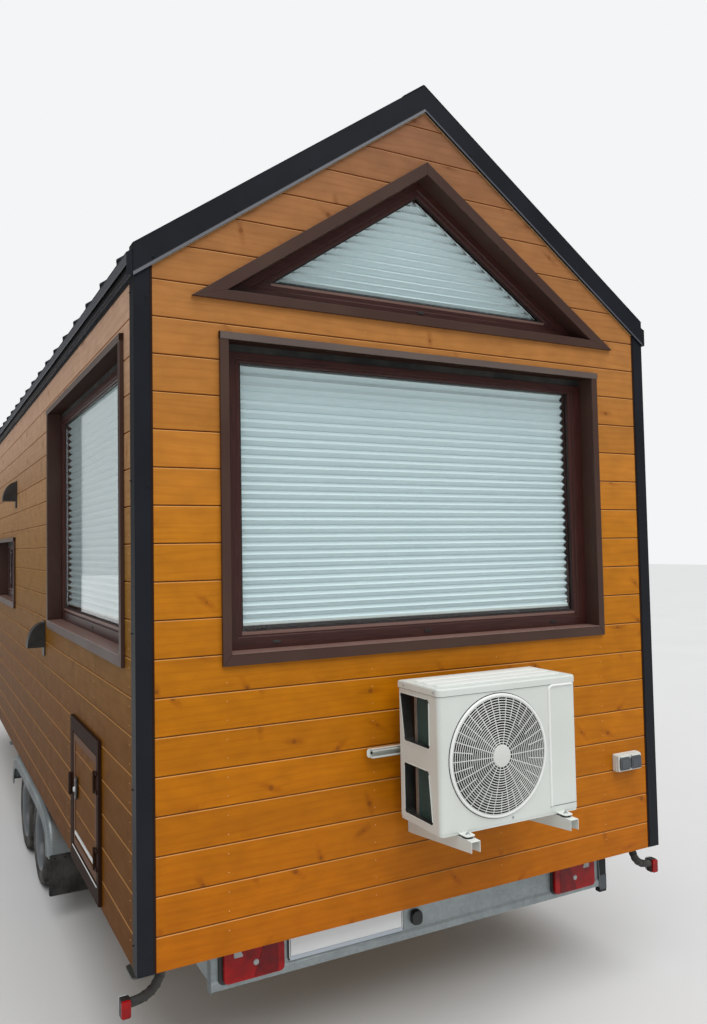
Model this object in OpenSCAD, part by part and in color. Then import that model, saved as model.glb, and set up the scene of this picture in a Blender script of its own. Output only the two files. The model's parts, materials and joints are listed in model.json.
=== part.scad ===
// Tiny house on a two-axle trailer, with boarded walls and a steep metal roof.
// The trailer's rear end faces -Y and its drawbar +Y. Lengths along the house are
// counted from the rear wall's boarded face, heights from the ground.

/* [House body] */
// Width of the house over its wall boards
body_w = 2500; // [2200:10:2500]
// Length of the house from rear wall face to front wall face
body_l = 6600; // [5400:100:7800]
// Height of the wall bottom above the ground
wall_bottom_z = 580; // [450:10:700]
// Height of the side walls above the wall bottom, measured at the outer face
eave_h = 2402; // [2100:10:2600]
// Roof pitch in degrees
roof_pitch = 35; // [20:1:40]
// Thickness of the outer walls
wall_t = 140; // [100:5:200]
// Thickness of the floor
floor_t = 140; // [100:5:200]

/* [Roof] */
// Thickness of the roof panel, square to its slope
roof_t = 78; // [60:2:160]
// Thickness given to the roof sheet
sheet_t = 4; // [2:1:8]
// Spacing of the standing seams along the house
seam_pitch = 290; // [200:5:500]
// Height of a standing seam
seam_h = 18; // [10:1:35]
// Width of a standing seam
seam_w = 12; // [6:1:20]
// Reach of the roof sheet past the side wall
eave_reach = 28; // [10:2:200]
// Face height of the gable edge flashing, square to the slope
verge_h = 100; // [60:2:200]
// Reach of the gable edge flashing in front of the boards
verge_reach = 12; // [4:1:40]
// Leg of the ridge cap on each slope
ridge_leg = 130; // [80:5:200]

/* [Corner trims] */
// Leg of a corner trim on each wall
trim_leg = 55; // [30:1:90]
// Height of the trim's face over the boards
trim_t = 4; // [2:1:8]

/* [Rear window] */
// Width of the rear window over its casing
rear_win_w = 1876; // [800:2:2100]
// Height of each large window over its casing
win_h = 1211; // [600:1:1400]
// Height of the large windows' casing above the wall bottom
win_sill_h = 1016; // [600:2:1300]
// Face width of a window casing
casing_w = 42; // [20:1:90]
// Thickness of a casing in front of the boards
casing_t = 15; // [8:1:30]
// Thickness of the lining inside a window opening
lining_t = 12; // [8:1:20]
// Width of the window frame bars
bar_w = 60; // [40:1:100]
// Width of the top bar that shows below the casing
top_bar_w = 38; // [30:1:100]
// Depth from the boards to the front of the window frame
frame_set = 60; // [20:1:90]
// Depth of the window frame
frame_d = 60; // [40:1:80]
// Thickness of the glazing
glass_t = 20; // [4:1:40]
// Height of the drip cap over a window
cap_h = 26; // [10:1:40]
// Reach of the drip cap in front of the boards
cap_reach = 30; // [16:1:60]

/* [Gable window] */
// Half of the width of the gable window over its casing
tri_half = 1045; // [600:5:1100]
// Height of the gable window's casing above the wall bottom
tri_base_h = 2352; // [2240:2:2500]
// Slope of the gable window's upper sides in degrees
tri_pitch = 33.65; // [25:0.05:40]
// Face width of the gable window casing
tri_casing_w = 46; // [20:1:90]
// Width of the gable window's lower bar
tri_low_bar = 87; // [50:1:120]

/* [Side windows] */
// Distance from the rear face to the side window's casing
side_win_y = 160; // [100:5:600]
// Width of the side window over its casing
side_win_w = 1770; // [800:5:1900]
// Distance from the rear face to the ribbon window's casing
ribbon_y = 3550; // [2500:10:4500]
// Width of the ribbon window over its casing
ribbon_w = 1200; // [600:10:1800]
// Height of the ribbon window over its casing
ribbon_h = 517; // [400:1:900]
// Height of the ribbon window's casing above the wall bottom
ribbon_sill_h = 1022; // [800:2:1500]

/* [Blinds] */
// Thickness given to the drawn pleated blinds
blind_t = 20; // [10:1:30]
// Gap between a blind and each side bar
blind_gap = 20; // [5:1:40]
// Gap between a blind's foot and the lower bar
blind_foot_gap = 28; // [5:1:60]

/* [Entry door] */
// Distance from the rear face to the entry door opening
entry_y = 3700; // [2400:10:5000]
// Width of the entry door opening
entry_w = 900; // [700:10:1000]
// Height of the entry door opening above the floor top
entry_h = 2000; // [1900:10:2100]
// Thickness of the entry door leaf
entry_t = 60; // [40:1:80]
// Width of the frame round the entry door's pane
entry_rail = 120; // [80:5:200]

/* [Service hatch] */
// Distance from the rear face to the hatch leaf's hinged edge
hatch_y = 606; // [400:2:900]
// Width of the hatch leaf
hatch_w = 510; // [300:5:700]
// Height of the hatch leaf
hatch_h = 506; // [300:5:700]
// Height of the hatch leaf's foot above the wall bottom
hatch_sill_h = 94; // [60:2:300]
// Thickness of the hatch leaf
hatch_t = 30; // [18:1:45]
// Clearance around the hatch leaf
hatch_gap = 5; // [2:1:8]
// Face width of the hatch casing at its sides
hatch_casing_w = 42; // [20:1:80]
// Face width of the hatch casing at its top and foot
hatch_head_w = 66; // [20:1:90]
// Diameter of the hatch hinge knuckles
hinge_d = 12; // [8:1:20]
// Length of a hatch hinge's middle knuckle
hinge_l = 60; // [40:5:100]
// Running gap between the knuckles of a hinge
hinge_run = 0.3; // [0.1:0.1:1]

/* [Outdoor unit] */
// Width of the air conditioner's outdoor unit
unit_w = 668; // [600:2:900]
// Height of the outdoor unit
unit_h = 530; // [450:2:700]
// Depth of the outdoor unit
unit_d = 265; // [220:1:380]
// Offset of the outdoor unit's middle from the house's middle
unit_x = 97; // [-600:1:600]
// Height of the outdoor unit's foot above the wall bottom
unit_low_h = 389; // [200:1:900]
// Gap between the outdoor unit and the boards
unit_gap = 70; // [40:1:150]
// Radius of the outdoor unit's upright edges
unit_r = 22; // [10:1:40]
// Height of the outdoor unit's lid
lid_h = 28; // [15:1:50]
// Diameter of the fan guard
guard_d = 460; // [380:2:500]
// Depth of the fan guard in front of the unit
guard_t = 10; // [6:1:20]
// Distance between the bracket arms
arm_pitch = 470; // [400:5:600]
// Length of a bracket arm from the boards
arm_l = 405; // [350:5:500]
// Side of a bracket arm's section
arm_s = 40; // [30:1:50]

/* [Wall fittings] */
// Width of the outdoor socket
socket_w = 150; // [80:5:200]
// Height of the outdoor socket
socket_h = 79; // [60:1:120]
// Depth of the outdoor socket
socket_d = 45; // [30:1:70]
// Distance from the socket to the side wall's face
socket_in = 126; // [80:2:300]
// Height of the socket above the wall bottom
socket_low_h = 384; // [200:2:1200]
// Radius of a wall lamp's hood
lamp_r = 90; // [60:1:120]
// Width of a wall lamp
lamp_w = 80; // [60:2:140]
// Height of a wall lamp's plate
lamp_plate_h = 200; // [160:5:260]
// Distance from the rear face to the high wall lamp
lamp_high_y = 3490; // [2600:10:4500]
// Height of the high wall lamp above the wall bottom
lamp_high_h = 1775; // [1600:5:1900]
// Distance from the rear face to the low wall lamp
lamp_low_y = 2110; // [2050:10:2600]
// Height of the low wall lamp above the wall bottom
lamp_low_h = 850; // [600:5:1000]

/* [Trailer] */
// Distance from a side wall's face in to the chassis rail
chassis_in = 290; // [250:5:400]
// Height of a side rail
rail_h = 140; // [100:5:180]
// Width of a side rail
rail_w = 60; // [40:5:80]
// Depth from the rear face to the rear beam's lip
beam_set = 90; // [60:2:300]
// Height of the rear beam
beam_h = 150; // [100:5:200]
// Depth of the rear beam's lower flange
beam_flange = 32; // [20:1:60]
// Outer diameter of a tyre
tyre_d = 526; // [480:2:640]
// Width of a tyre
tyre_w = 190; // [155:5:215]
// Distance from the rear face to the middle of the two axles
axle_y = 2771; // [2000:5:3600]
// Distance between the two axles
axle_pitch = 650; // [600:10:900]
// Reach of a mudguard past the side wall
guard_reach = 12; // [2:1:25]
// Number of crossbars between the chassis rails
crossbars = 6; // [4:1:9]
// Height of a crossbar
crossbar_h = 100; // [60:5:120]
// Width of a crossbar
crossbar_w = 60; // [40:5:80]
// Distance from the rear face to the rear corner steadies
steady_y = 1160; // [600:10:1700]
// Distance from the front wall's face back to the front corner steadies
steady_front = 300; // [250:10:700]
// Side of a corner steady's square foot
steady_foot = 140; // [100:10:200]
// Length of the drawbar in front of the house
drawbar_l = 1150; // [800:10:1600]
// Distance from the drawbar's tip back to the jockey wheel
jockey_set = 480; // [420:10:600]
// Diameter of the jockey wheel
jockey_d = 200; // [160:10:250]
// Width of a mudflap
flap_w = 224; // [150:2:240]
// Height of a mudflap's foot above the ground
flap_foot = 130; // [90:5:200]

/* [Lamps and plate] */
// Width of a tail lamp
tail_w = 252; // [180:2:300]
// Height of a tail lamp
tail_h = 140; // [80:2:160]
// Depth of a tail lamp
tail_d = 36; // [20:1:60]
// Distance of a tail lamp's middle from the chassis rail's face
tail_in = 160; // [140:5:300]
// Width of the blank number plate
plate_w = 520; // [300:5:520]
// Height of the blank number plate
plate_h = 98; // [90:1:160]
// Distance of the number plate's near end from the chassis rail's face
plate_in = 310; // [300:5:420]
// Distance of a marker lamp's arm from the side wall's face
marker_in = 120; // [80:5:200]
// Side of a marker lamp
marker_s = 50; // [30:1:60]

/* [Hidden] */
lay = 0.05; // gap between laid pieces, so that they touch and don't cut
chassis_w = body_w - 2 * chassis_in;
rear_y = -(arm_l + body_l + drawbar_l) / 2 + arm_l;
half_w = body_w / 2;
tan_p = tan(roof_pitch);
cos_p = cos(roof_pitch);
sin_p = sin(roof_pitch);
wb = wall_bottom_z;
eave_z = wb + eave_h;
apex_z = eave_z + half_w * tan_p;
floor_z = wb + floor_t;
inner_x = half_w - wall_t;
roof_v = roof_t / cos_p;
sheet_v = sheet_t / cos_p;
verge_v = verge_h / cos_p;
roof_len = (half_w + eave_reach) / cos_p;
win_z0 = wb + win_sill_h;
tri_z0 = wb + tri_base_h;
tri_z1 = tri_z0 + tri_half * tan(tri_pitch);
ribbon_z0 = wb + ribbon_sill_h;
hatch_z = wb + hatch_sill_h;
hole_y0 = hatch_y - hatch_gap;
hole_y1 = hatch_y + hatch_w + hatch_gap;
hole_z0 = hatch_z - hatch_gap;
hole_z1 = hatch_z + hatch_h + hatch_gap;
hinge_x = -half_w - casing_t - hinge_d / 2 - 1;
hinge_y = hatch_y + 3;
unit_z0 = wb + unit_low_h;
unit_x0 = unit_x - unit_w / 2;
unit_y0 = -unit_gap - unit_d;
fan_x = unit_x - 61;
fan_z = wb + 652;
rail_z0 = wb - rail_h;
beam_z1 = wb - 20;
beam_z0 = beam_z1 - beam_h;
guard_x = half_w + guard_reach;
tail_x = chassis_w / 2 - tail_in;
guard_top = wb - 4;
tyre_x = guard_x - 26 - tyre_w / 2;
axle_z = tyre_d / 2;
tip_y = body_l + drawbar_l;
hinge_z = [hatch_z + 70, hatch_z + hatch_h - 70 - hinge_l];
// Half outline of a mudguard's upper face, as distance from its middle and height.
guard_line = [[-867, -236], [-850, -150], [-790, -58], [-620, -12], [-441, 0]];
// Half outline of its side's lower edge.
guard_low = [[-750, -321], [-450, -330], [-401, -256], [-319, -193], [-211, -136], [-87, -105]];
$fn = 48;

module box(a, b) {
  translate(a) cube(b - a);
}

// Everything is drawn along the house from the rear face, then put in place here.
module placed() {
  translate([0, rear_y, 0]) children();
}

module both_sides() {
  children();
  mirror([1, 0, 0]) children();
}

// A solid with an outline in X and Z, from y0 to y1.
module slab_xz(points, y0, y1) {
  translate([0, y1, 0]) rotate([90, 0, 0]) linear_extrude(y1 - y0) polygon(points);
}

// A solid with an outline in Y and Z, from x0 to x1.
module slab_yz(points, x0, x1) {
  translate([x0, 0, 0]) rotate([90, 0, 90]) linear_extrude(x1 - x0) polygon(points);
}

// Upper triangle of the gable window, drawn in from its casing by side and base widths.
function tri_points(side_in, base_in) = let(
  top = tri_z1 - side_in / cos(tri_pitch),
  low = tri_z0 + base_in,
  reach = (top - low) / tan(tri_pitch)
) [[-reach, low], [reach, low], [0, top]];

module chassis_rails() {
  color("silver") placed() both_sides()
    box([chassis_w / 2 - rail_w, beam_set + beam_flange, rail_z0], [chassis_w / 2, body_l - 60, wb]);
}

module chassis_crossbars() {
  in_x = chassis_w / 2 - rail_w;
  run = (body_l - 180) / crossbars;
  color("silver") placed() {
    for (i = [0:crossbars - 1]) let(y = (i + 0.5) * run)
      box([-in_x, y, wb - crossbar_h], [in_x, y + crossbar_w, wb]);
    box([-in_x, body_l - 120, rail_z0], [in_x, body_l - 60, wb]);
  }
}

module rear_beam() {
  w = chassis_w / 2;
  web = beam_set + beam_flange;
  color("silver") placed() {
    slab_yz([[beam_set, beam_z0], [web, beam_z0], [web, beam_z1], [web - 4, beam_z1],
      [web - 4, beam_z0 + 4], [beam_set + 3, beam_z0 + 4], [beam_set + 3, beam_z0 + 18],
      [beam_set, beam_z0 + 18]], -w, w);
    box([w, beam_set + 4, beam_z0 - 30], [w + 50, web, beam_z1 - 30]);
  }
}

module drawbar() {
  y0 = body_l - 60;
  color("silver") placed() both_sides()
    translate([0, 0, rail_z0 + 20]) linear_extrude(80)
      polygon([[chassis_w / 2 - 120, y0], [chassis_w / 2 - 20, y0], [102, tip_y - 300],
        [40, tip_y - 300]]);
}

module coupling() {
  z = rail_z0 + 20;
  color("dimgray") placed() {
    box([-40, tip_y - 420, z], [40, tip_y - 140, z + 80]);
    translate([0, tip_y - 60, z + 30]) cylinder(d = 120, h = 70);
    box([-35, tip_y - 140, z + 40], [35, tip_y - 60, z + 90]);
    box([-12, tip_y - 150, z + 90], [12, tip_y - 10, z + 110]);
  }
}

// The jockey wheel stands between the drawbar's arms, on a plate that lies across them.
module jockey() {
  y = tip_y - jockey_set;
  r = jockey_d / 2;
  box([-260, y - 40, rail_z0 + 100], [260, y + 40, rail_z0 + 108]);
  translate([0, y, jockey_d]) cylinder(d = 48, h = wb + 180 - jockey_d);
  box([-40, y - 20, jockey_d + 4], [40, y + 20, jockey_d + 20]);
  box([-40, y - 20, r - 10], [-30, y + 20, jockey_d + 20]);
  box([30, y - 20, r - 10], [40, y + 20, jockey_d + 20]);
  translate([-30, y, r]) rotate([0, 90, 0]) cylinder(r = r, h = 60);
}

module stands() {
  x = chassis_w / 2 - rail_w / 2;
  color("dimgray") placed() {
    jockey();
    both_sides() for (y = [steady_y, body_l - steady_front]) {
      box([x - 25, y - 25, 6], [x + 25, y + 25, rail_z0]);
      box([x - steady_foot / 2, y - steady_foot / 2, 0], [x + steady_foot / 2, y + steady_foot / 2, 8]);
    }
  }
}

module axles() {
  color("silver") placed() for (s = [-1, 1]) {
    y = axle_y + s * axle_pitch / 2;
    box([-chassis_w / 2, y - 200, rail_z0 - 80], [chassis_w / 2, y - 120, rail_z0]);
    both_sides() {
      slab_yz([[y - 200, rail_z0 - 80], [y - 120, rail_z0 - 80], [y + 45, axle_z - 25],
        [y + 45, axle_z + 40], [y - 120, rail_z0], [y - 200, rail_z0]],
        chassis_w / 2 - 30, chassis_w / 2);
      translate([chassis_w / 2, y, axle_z]) rotate([0, 90, 0])
        cylinder(d = 90, h = tyre_x - chassis_w / 2);
    }
  }
}

module tyres() {
  color("black") placed() for (s = [-1, 1]) both_sides()
    translate([tyre_x, axle_y + s * axle_pitch / 2, axle_z]) rotate([0, 90, 0])
      rotate_extrude($fn = 96)
        polygon([[172, -tyre_w / 2 + 12], [tyre_d / 2 - 22, -tyre_w / 2], [tyre_d / 2, -tyre_w / 2 + 28],
          [tyre_d / 2, tyre_w / 2 - 28], [tyre_d / 2 - 22, tyre_w / 2], [172, tyre_w / 2 - 12]]);
}

module wheel_rims() {
  color("silver") placed() for (s = [-1, 1]) both_sides()
    translate([tyre_x, axle_y + s * axle_pitch / 2, axle_z]) rotate([0, 90, 0])
      rotate_extrude($fn = 96)
        polygon([[0, 0], [172, 0], [172, tyre_w / 2 - 12], [150, tyre_w / 2 - 20], [140, 40],
          [60, 62], [0, 62]]);
}

function guard_top_points(d) = concat(
  [for (p = guard_line) [axle_y + p[0], guard_top + p[1] - d]],
  [for (i = [len(guard_line) - 1:-1:0]) [axle_y - guard_line[i][0], guard_top + guard_line[i][1] - d]]);

module mudguard() {
  top = guard_top_points(0);
  low = guard_top_points(4);
  lip = concat([for (p = guard_low) [axle_y + p[0], guard_top + p[1]]],
    [for (i = [len(guard_low) - 1:-1:0]) [axle_y - guard_low[i][0], guard_top + guard_low[i][1]]]);
  slab_yz(concat(top, [for (i = [len(low) - 1:-1:0]) low[i]]), chassis_w / 2, guard_x);
  slab_yz(concat(top, [for (i = [len(lip) - 1:-1:0]) lip[i]]), guard_x - 4, guard_x);
}

module mudguard_left() {
  color("silver") placed() mirror([1, 0, 0]) mudguard();
}

module mudguard_right() {
  color("silver") placed() mudguard();
}

module mudflaps() {
  color("black") placed() both_sides()
    box([guard_x - flap_w - 6, axle_y - 873, flap_foot], [guard_x - 6, axle_y - 867, guard_top - 226]);
}

module floor() {
  color("tan") placed()
    box([-inner_x, wall_t, wb], [inner_x, body_l - wall_t, floor_z]);
}

module gable_outline(y0, y1) {
  slab_xz([[-half_w, wb], [half_w, wb], [half_w, eave_z], [0, apex_z], [-half_w, eave_z]], y0, y1);
}

module wall_rear() {
  w = rear_win_w / 2 - casing_w + lining_t;
  color("peru") placed() difference() {
    gable_outline(0, wall_t);
    box([-w, -1, win_z0 + casing_w - lining_t], [w, wall_t + 1, win_z0 + win_h - casing_w + lining_t]);
    slab_xz(tri_points(tri_casing_w - lining_t, tri_casing_w - lining_t), -1, wall_t + 1);
  }
}

module wall_front() {
  color("peru") placed() difference() {
    gable_outline(body_l - wall_t, body_l);
    slab_xz(tri_points(tri_casing_w - lining_t, tri_casing_w - lining_t), body_l - wall_t - 1, body_l + 1);
  }
}

// Cuts a window opening through the left wall.
module side_hole(y0, w, z0, h) {
  box([-half_w - 1, y0 + casing_w - lining_t, z0 + casing_w - lining_t],
    [-inner_x + 1, y0 + w - casing_w + lining_t, z0 + h - casing_w + lining_t]);
}

module side_wall(z0) {
  slab_xz([[-half_w, z0], [-inner_x, z0], [-inner_x, eave_z + wall_t * tan_p], [-half_w, eave_z]],
    wall_t, body_l - wall_t);
}

module wall_left() {
  color("peru") placed() difference() {
    side_wall(hole_z1);
    side_hole(side_win_y, side_win_w, win_z0, win_h);
    side_hole(ribbon_y, ribbon_w, ribbon_z0, ribbon_h);
  }
}

module wall_left_low() {
  color("peru") placed() difference() {
    box([-half_w, wall_t, wb], [-inner_x, body_l - wall_t, hole_z1]);
    box([-half_w - 1, hole_y0, hole_z0], [-inner_x + 1, hole_y1, hole_z1 + 1]);
  }
}

module wall_right() {
  color("peru") placed() mirror([1, 0, 0]) difference() {
    side_wall(wb);
    side_hole(side_win_y, side_win_w, win_z0, win_h);
    box([-half_w - 1, entry_y, floor_z], [-inner_x + 1, entry_y + entry_w, floor_z + entry_h]);
  }
}

// One roof slope on the right, from a height over the roof's underside, with a thickness.
module slope(rise, t, x1, y0, y1) {
  low = eave_z + rise / cos_p;
  slab_xz([[0, low + half_w * tan_p], [x1, low - (x1 - half_w) * tan_p],
    [x1, low - (x1 - half_w) * tan_p + t / cos_p], [0, low + half_w * tan_p + t / cos_p]], y0, y1);
}

module roof_right() {
  color("tan") placed() slope(lay, roof_t - lay, half_w, 0, body_l);
}

module roof_left() {
  color("tan") placed() mirror([1, 0, 0]) slope(lay, roof_t - lay, half_w, 0, body_l);
}

module roof_sheet() {
  slope(roof_t + lay, sheet_t - lay, half_w + eave_reach, 0, body_l);
  for (y = [seam_pitch / 2:seam_pitch:body_l - seam_w])
    intersection() {
      slope(roof_t + sheet_t - 1, seam_h + 1 - lay, half_w + eave_reach, y - seam_w / 2, y + seam_w / 2);
      box([60, 0, wb], [body_w, body_l, apex_z + 300]);
    }
}

module roof_sheet_right() {
  color("darkslategray") placed() roof_sheet();
}

module roof_sheet_left() {
  color("darkslategray") placed() mirror([1, 0, 0]) roof_sheet();
}

module ridge_cap() {
  top = apex_z + (max(roof_t + sheet_t + seam_h, verge_h) + lay) / cos_p;
  x = ridge_leg * cos_p;
  d = ridge_leg * sin_p;
  color("darkslategray") placed()
    slab_xz([[-x, top - d], [0, top], [x, top - d], [x, top - d + 4], [0, top + 4], [-x, top - d + 4]],
      0, body_l);
}

module verge() {
  cut = half_w + 6;
  difference() {
    union() {
      slope(0, verge_h, cut, -verge_reach, 0);
      slope(verge_h - 3, 3, cut, -verge_reach, 45);
    }
    box([-1, -50, apex_z - 200], [0.5, 100, apex_z + 400]);
  }
}

module verge_trims() {
  color("dimgray") placed() both_sides() {
    verge();
    translate([0, body_l, 0]) mirror([0, 1, 0]) verge();
  }
}

module eave_trims() {
  x = half_w;
  color("dimgray") placed() both_sides()
    slab_xz([[x, eave_z + 4], [x + 22, eave_z + 4], [x + 26, eave_z - 4], [x + 28, eave_z - 4],
      [x + 28, eave_z + roof_v - 28 * tan_p - 1], [x, eave_z + roof_v - 1]], 0, body_l);
}

module corner_trims() {
  x = half_w + trim_t;
  color("dimgray") placed() both_sides() for (f = [0, 1])
    translate([0, f * body_l, wb]) mirror([0, f, 0]) linear_extrude(eave_h - 6)
      polygon([[x, -trim_t], [x, trim_leg], [half_w, trim_leg], [half_w, 0],
        [half_w - trim_leg, 0], [half_w - trim_leg, -trim_t]]);
}

// Casing of a window, with lining, sloping sill and drip cap, as in the rear wall.
module casing(x0, w, z0, h) {
  i = casing_w;
  difference() {
    union() {
      box([x0, -casing_t, z0], [x0 + w, 0, z0 + h]);
      box([x0 + i - lining_t, 0, z0 + i - lining_t], [x0 + w - i + lining_t, wall_t, z0 + h - i + lining_t]);
      box([x0 - 6, -cap_reach, z0 + h - 11], [x0 + w + 6, 0, z0 + h - 11 + cap_h]);
    }
    box([x0 + i, -casing_t - 40, z0 + i], [x0 + w - i, wall_t + 1, z0 + h - i]);
  }
  slab_yz([[-casing_t - 8, z0 + i - 4], [frame_set, z0 + i - 4], [frame_set, z0 + i + 14],
    [-casing_t - 8, z0 + i + 4]], x0 + i, x0 + w - i);
}

module window_frame(x0, w, z0, h) {
  i = casing_w;
  difference() {
    box([x0 + i, frame_set, z0 + i], [x0 + w - i, frame_set + frame_d, z0 + h - i]);
    box([x0 + i + bar_w, frame_set - 1, z0 + i + bar_w],
      [x0 + w - i - bar_w, frame_set + frame_d + 1, z0 + h - i - top_bar_w]);
  }
}

module window_glass(x0, w, z0, h) {
  i = casing_w + bar_w;
  box([x0 + i, frame_set + 18, z0 + i],
    [x0 + w - i, frame_set + 18 + glass_t, z0 + h - casing_w - top_bar_w]);
}

// Turns what is drawn for the rear wall into the left wall.
module on_left() {
  translate([-half_w, 0, 0]) rotate([0, 0, -90]) mirror([1, 0, 0]) children();
}

// A drawn blind behind a window's glazing.
module window_blind(x0, w, z0, h) {
  i = casing_w + bar_w;
  y = frame_set + 20 + glass_t;
  box([x0 + i + blind_gap, y, z0 + i + blind_foot_gap],
    [x0 + w - i - blind_gap, y + blind_t, z0 + h - casing_w - top_bar_w]);
}

module gable_blind() {
  y = frame_set + 20 + glass_t;
  slab_xz(tri_points(tri_casing_w + bar_w, tri_casing_w + tri_low_bar + 2), y, y + blind_t - 1);
}

module blinds() {
  color("whitesmoke") placed() {
    window_blind(-rear_win_w / 2, rear_win_w, win_z0, win_h);
    both_sides() on_left() window_blind(side_win_y, side_win_w, win_z0, win_h);
    gable_blind();
    translate([0, body_l, 0]) mirror([0, 1, 0]) gable_blind();
  }
}

module gable_casing() {
  difference() {
    union() {
      slab_xz(tri_points(0, 0), -casing_t, 0);
      slab_xz(tri_points(tri_casing_w - lining_t, tri_casing_w - lining_t), 0, wall_t);
    }
    slab_xz(tri_points(tri_casing_w, tri_casing_w), -casing_t - 1, wall_t + 1);
  }
}

module end_casings() {
  color("saddlebrown") placed() {
    casing(-rear_win_w / 2, rear_win_w, win_z0, win_h);
    gable_casing();
    translate([0, body_l, 0]) mirror([0, 1, 0]) gable_casing();
  }
}

module gable_frame() {
  difference() {
    slab_xz(tri_points(tri_casing_w, tri_casing_w), frame_set, frame_set + frame_d);
    slab_xz(tri_points(tri_casing_w + bar_w, tri_casing_w + tri_low_bar), frame_set - 1, frame_set + frame_d + 1);
  }
}

module end_frames() {
  color("saddlebrown") placed() {
    window_frame(-rear_win_w / 2, rear_win_w, win_z0, win_h);
    gable_frame();
    translate([0, body_l, 0]) mirror([0, 1, 0]) gable_frame();
  }
}

module gable_pane() {
  slab_xz(tri_points(tri_casing_w + bar_w, tri_casing_w + tri_low_bar),
    frame_set + 18, frame_set + 18 + glass_t);
}

module end_glass() {
  color("lightblue") placed() {
    window_glass(-rear_win_w / 2, rear_win_w, win_z0, win_h);
    gable_pane();
    translate([0, body_l, 0]) mirror([0, 1, 0]) gable_pane();
  }
}

module side_casings() {
  color("saddlebrown") placed() {
    both_sides() on_left() casing(side_win_y, side_win_w, win_z0, win_h);
    on_left() casing(ribbon_y, ribbon_w, ribbon_z0, ribbon_h);
  }
}

module side_frames() {
  color("saddlebrown") placed() {
    both_sides() on_left() window_frame(side_win_y, side_win_w, win_z0, win_h);
    on_left() window_frame(ribbon_y, ribbon_w, ribbon_z0, ribbon_h);
  }
}

module side_glass() {
  color("lightblue") placed() {
    both_sides() on_left() window_glass(side_win_y, side_win_w, win_z0, win_h);
    on_left() window_glass(ribbon_y, ribbon_w, ribbon_z0, ribbon_h);
  }
}

// A half-glazed leaf that fills its opening, with a casing outside and a lever handle.
module entry_door() {
  y1 = entry_y + entry_w;
  z1 = floor_z + entry_h;
  x0 = half_w - 20 - entry_t;
  x1 = half_w - 20;
  pane = [entry_y + entry_rail, y1 - entry_rail, floor_z + entry_rail + 60, z1 - entry_rail];
  color("saddlebrown") placed() {
    difference() {
      box([x0, entry_y, floor_z], [x1, y1, z1]);
      for (x = [x0 - 1, x1 - 18]) box([x, pane[0], pane[2]], [x + 19, pane[1], pane[3]]);
    }
    difference() {
      box([half_w, entry_y - casing_w, floor_z], [half_w + casing_t, y1 + casing_w, z1 + casing_w]);
      box([half_w - 1, entry_y + 30, floor_z - 1], [half_w + casing_t + 1, y1 - 30, z1 - 30]);
    }
    difference() {
      box([x1, entry_y, floor_z], [half_w, y1, z1]);
      box([x1 - 1, entry_y + 30, floor_z - 1], [half_w + 1, y1 - 30, z1 - 30]);
    }
    translate([x1, entry_y + 85, floor_z + 1000]) {
      box([-1, -16, -110], [8, 16, 110]);
      rotate([0, 90, 0]) cylinder(d = 20, h = 50);
      box([40, -10, -10], [58, 125, 10]);
    }
  }
}

// The casing carries the outer knuckles of the hinges, the leaf the middle ones.
module hatch_casing() {
  color("saddlebrown") placed() {
    difference() {
      box([-half_w - casing_t, hole_y0 - hatch_casing_w + 6, wb + 14],
        [-half_w, hole_y1 + hatch_casing_w + 18, hole_z1 + hatch_head_w]);
      box([-half_w - casing_t - 1, hole_y0, hole_z0], [-half_w + 1, hole_y1, hole_z1]);
    }
    for (z = hinge_z, s = [[-14, -hinge_run], [hinge_l + hinge_run, hinge_l + 14]]) {
      translate([hinge_x, hinge_y, z + s[0]]) cylinder(d = hinge_d, h = s[1] - s[0]);
      box([hinge_x + 1, hole_y0 - 26, z + s[0]], [-half_w - casing_t, hinge_y, z + s[1]]);
    }
  }
}

module hatch_leaf() {
  x1 = -half_w - casing_t + 3;
  color("saddlebrown") placed() {
    box([x1, hatch_y, hatch_z], [x1 + hatch_t, hatch_y + hatch_w, hatch_z + hatch_h]);
    for (z = hinge_z) {
      translate([hinge_x, hinge_y, z]) cylinder(d = hinge_d, h = hinge_l);
      box([x1 - 6, hinge_y, z], [x1, hatch_y + 38, z + hinge_l]);
    }
  }
}

module hatch_lock() {
  x1 = -half_w - casing_t + 3;
  y = hatch_y + hatch_w - 45;
  z = wb + 365;
  color("black") placed() {
    box([x1 - 12, y - 22, z - 68], [x1, y + 22, z + 68]);
    translate([x1 - 20, y, z]) rotate([0, 90, 0]) cylinder(d = 24, h = 20);
  }
}

// Outline of the outdoor unit from above, grown by g.
module unit_plan(g) {
  w = unit_w / 2 + g;
  r = unit_r + g;
  translate([unit_x, unit_y0 - g]) {
    translate([-w + r, 0]) square([2 * w - 2 * r, unit_d + 2 * g]);
    translate([-w, r]) square([2 * w, unit_d + 2 * g - r]);
    for (x = [-w + r, w - r]) translate([x, r]) circle(r = r);
  }
}

// The left end has two openings, in front of the coil.
module unit_housing() {
  x0 = unit_x0;
  color("whitesmoke") placed() difference() {
    union() {
      translate([0, 0, unit_z0]) linear_extrude(unit_h - lid_h + 2) unit_plan(-3);
      translate([0, 0, unit_z0 + unit_h - lid_h]) linear_extrude(lid_h) unit_plan(0);
      for (s = [-1, 1]) translate([unit_x + s * arm_pitch / 2, 0, 0])
        box([-22, unit_y0 - 40, unit_z0 - 2], [22, -unit_gap, unit_z0 + 2]);
    }
    box([x0 - 1, unit_y0 + 84, unit_z0 + 302], [x0 + 30, unit_y0 + 250, unit_z0 + 484]);
    box([x0 - 1, unit_y0 + 80, unit_z0 + 32], [x0 + 30, unit_y0 + 232, unit_z0 + 222]);
  }
}

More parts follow.
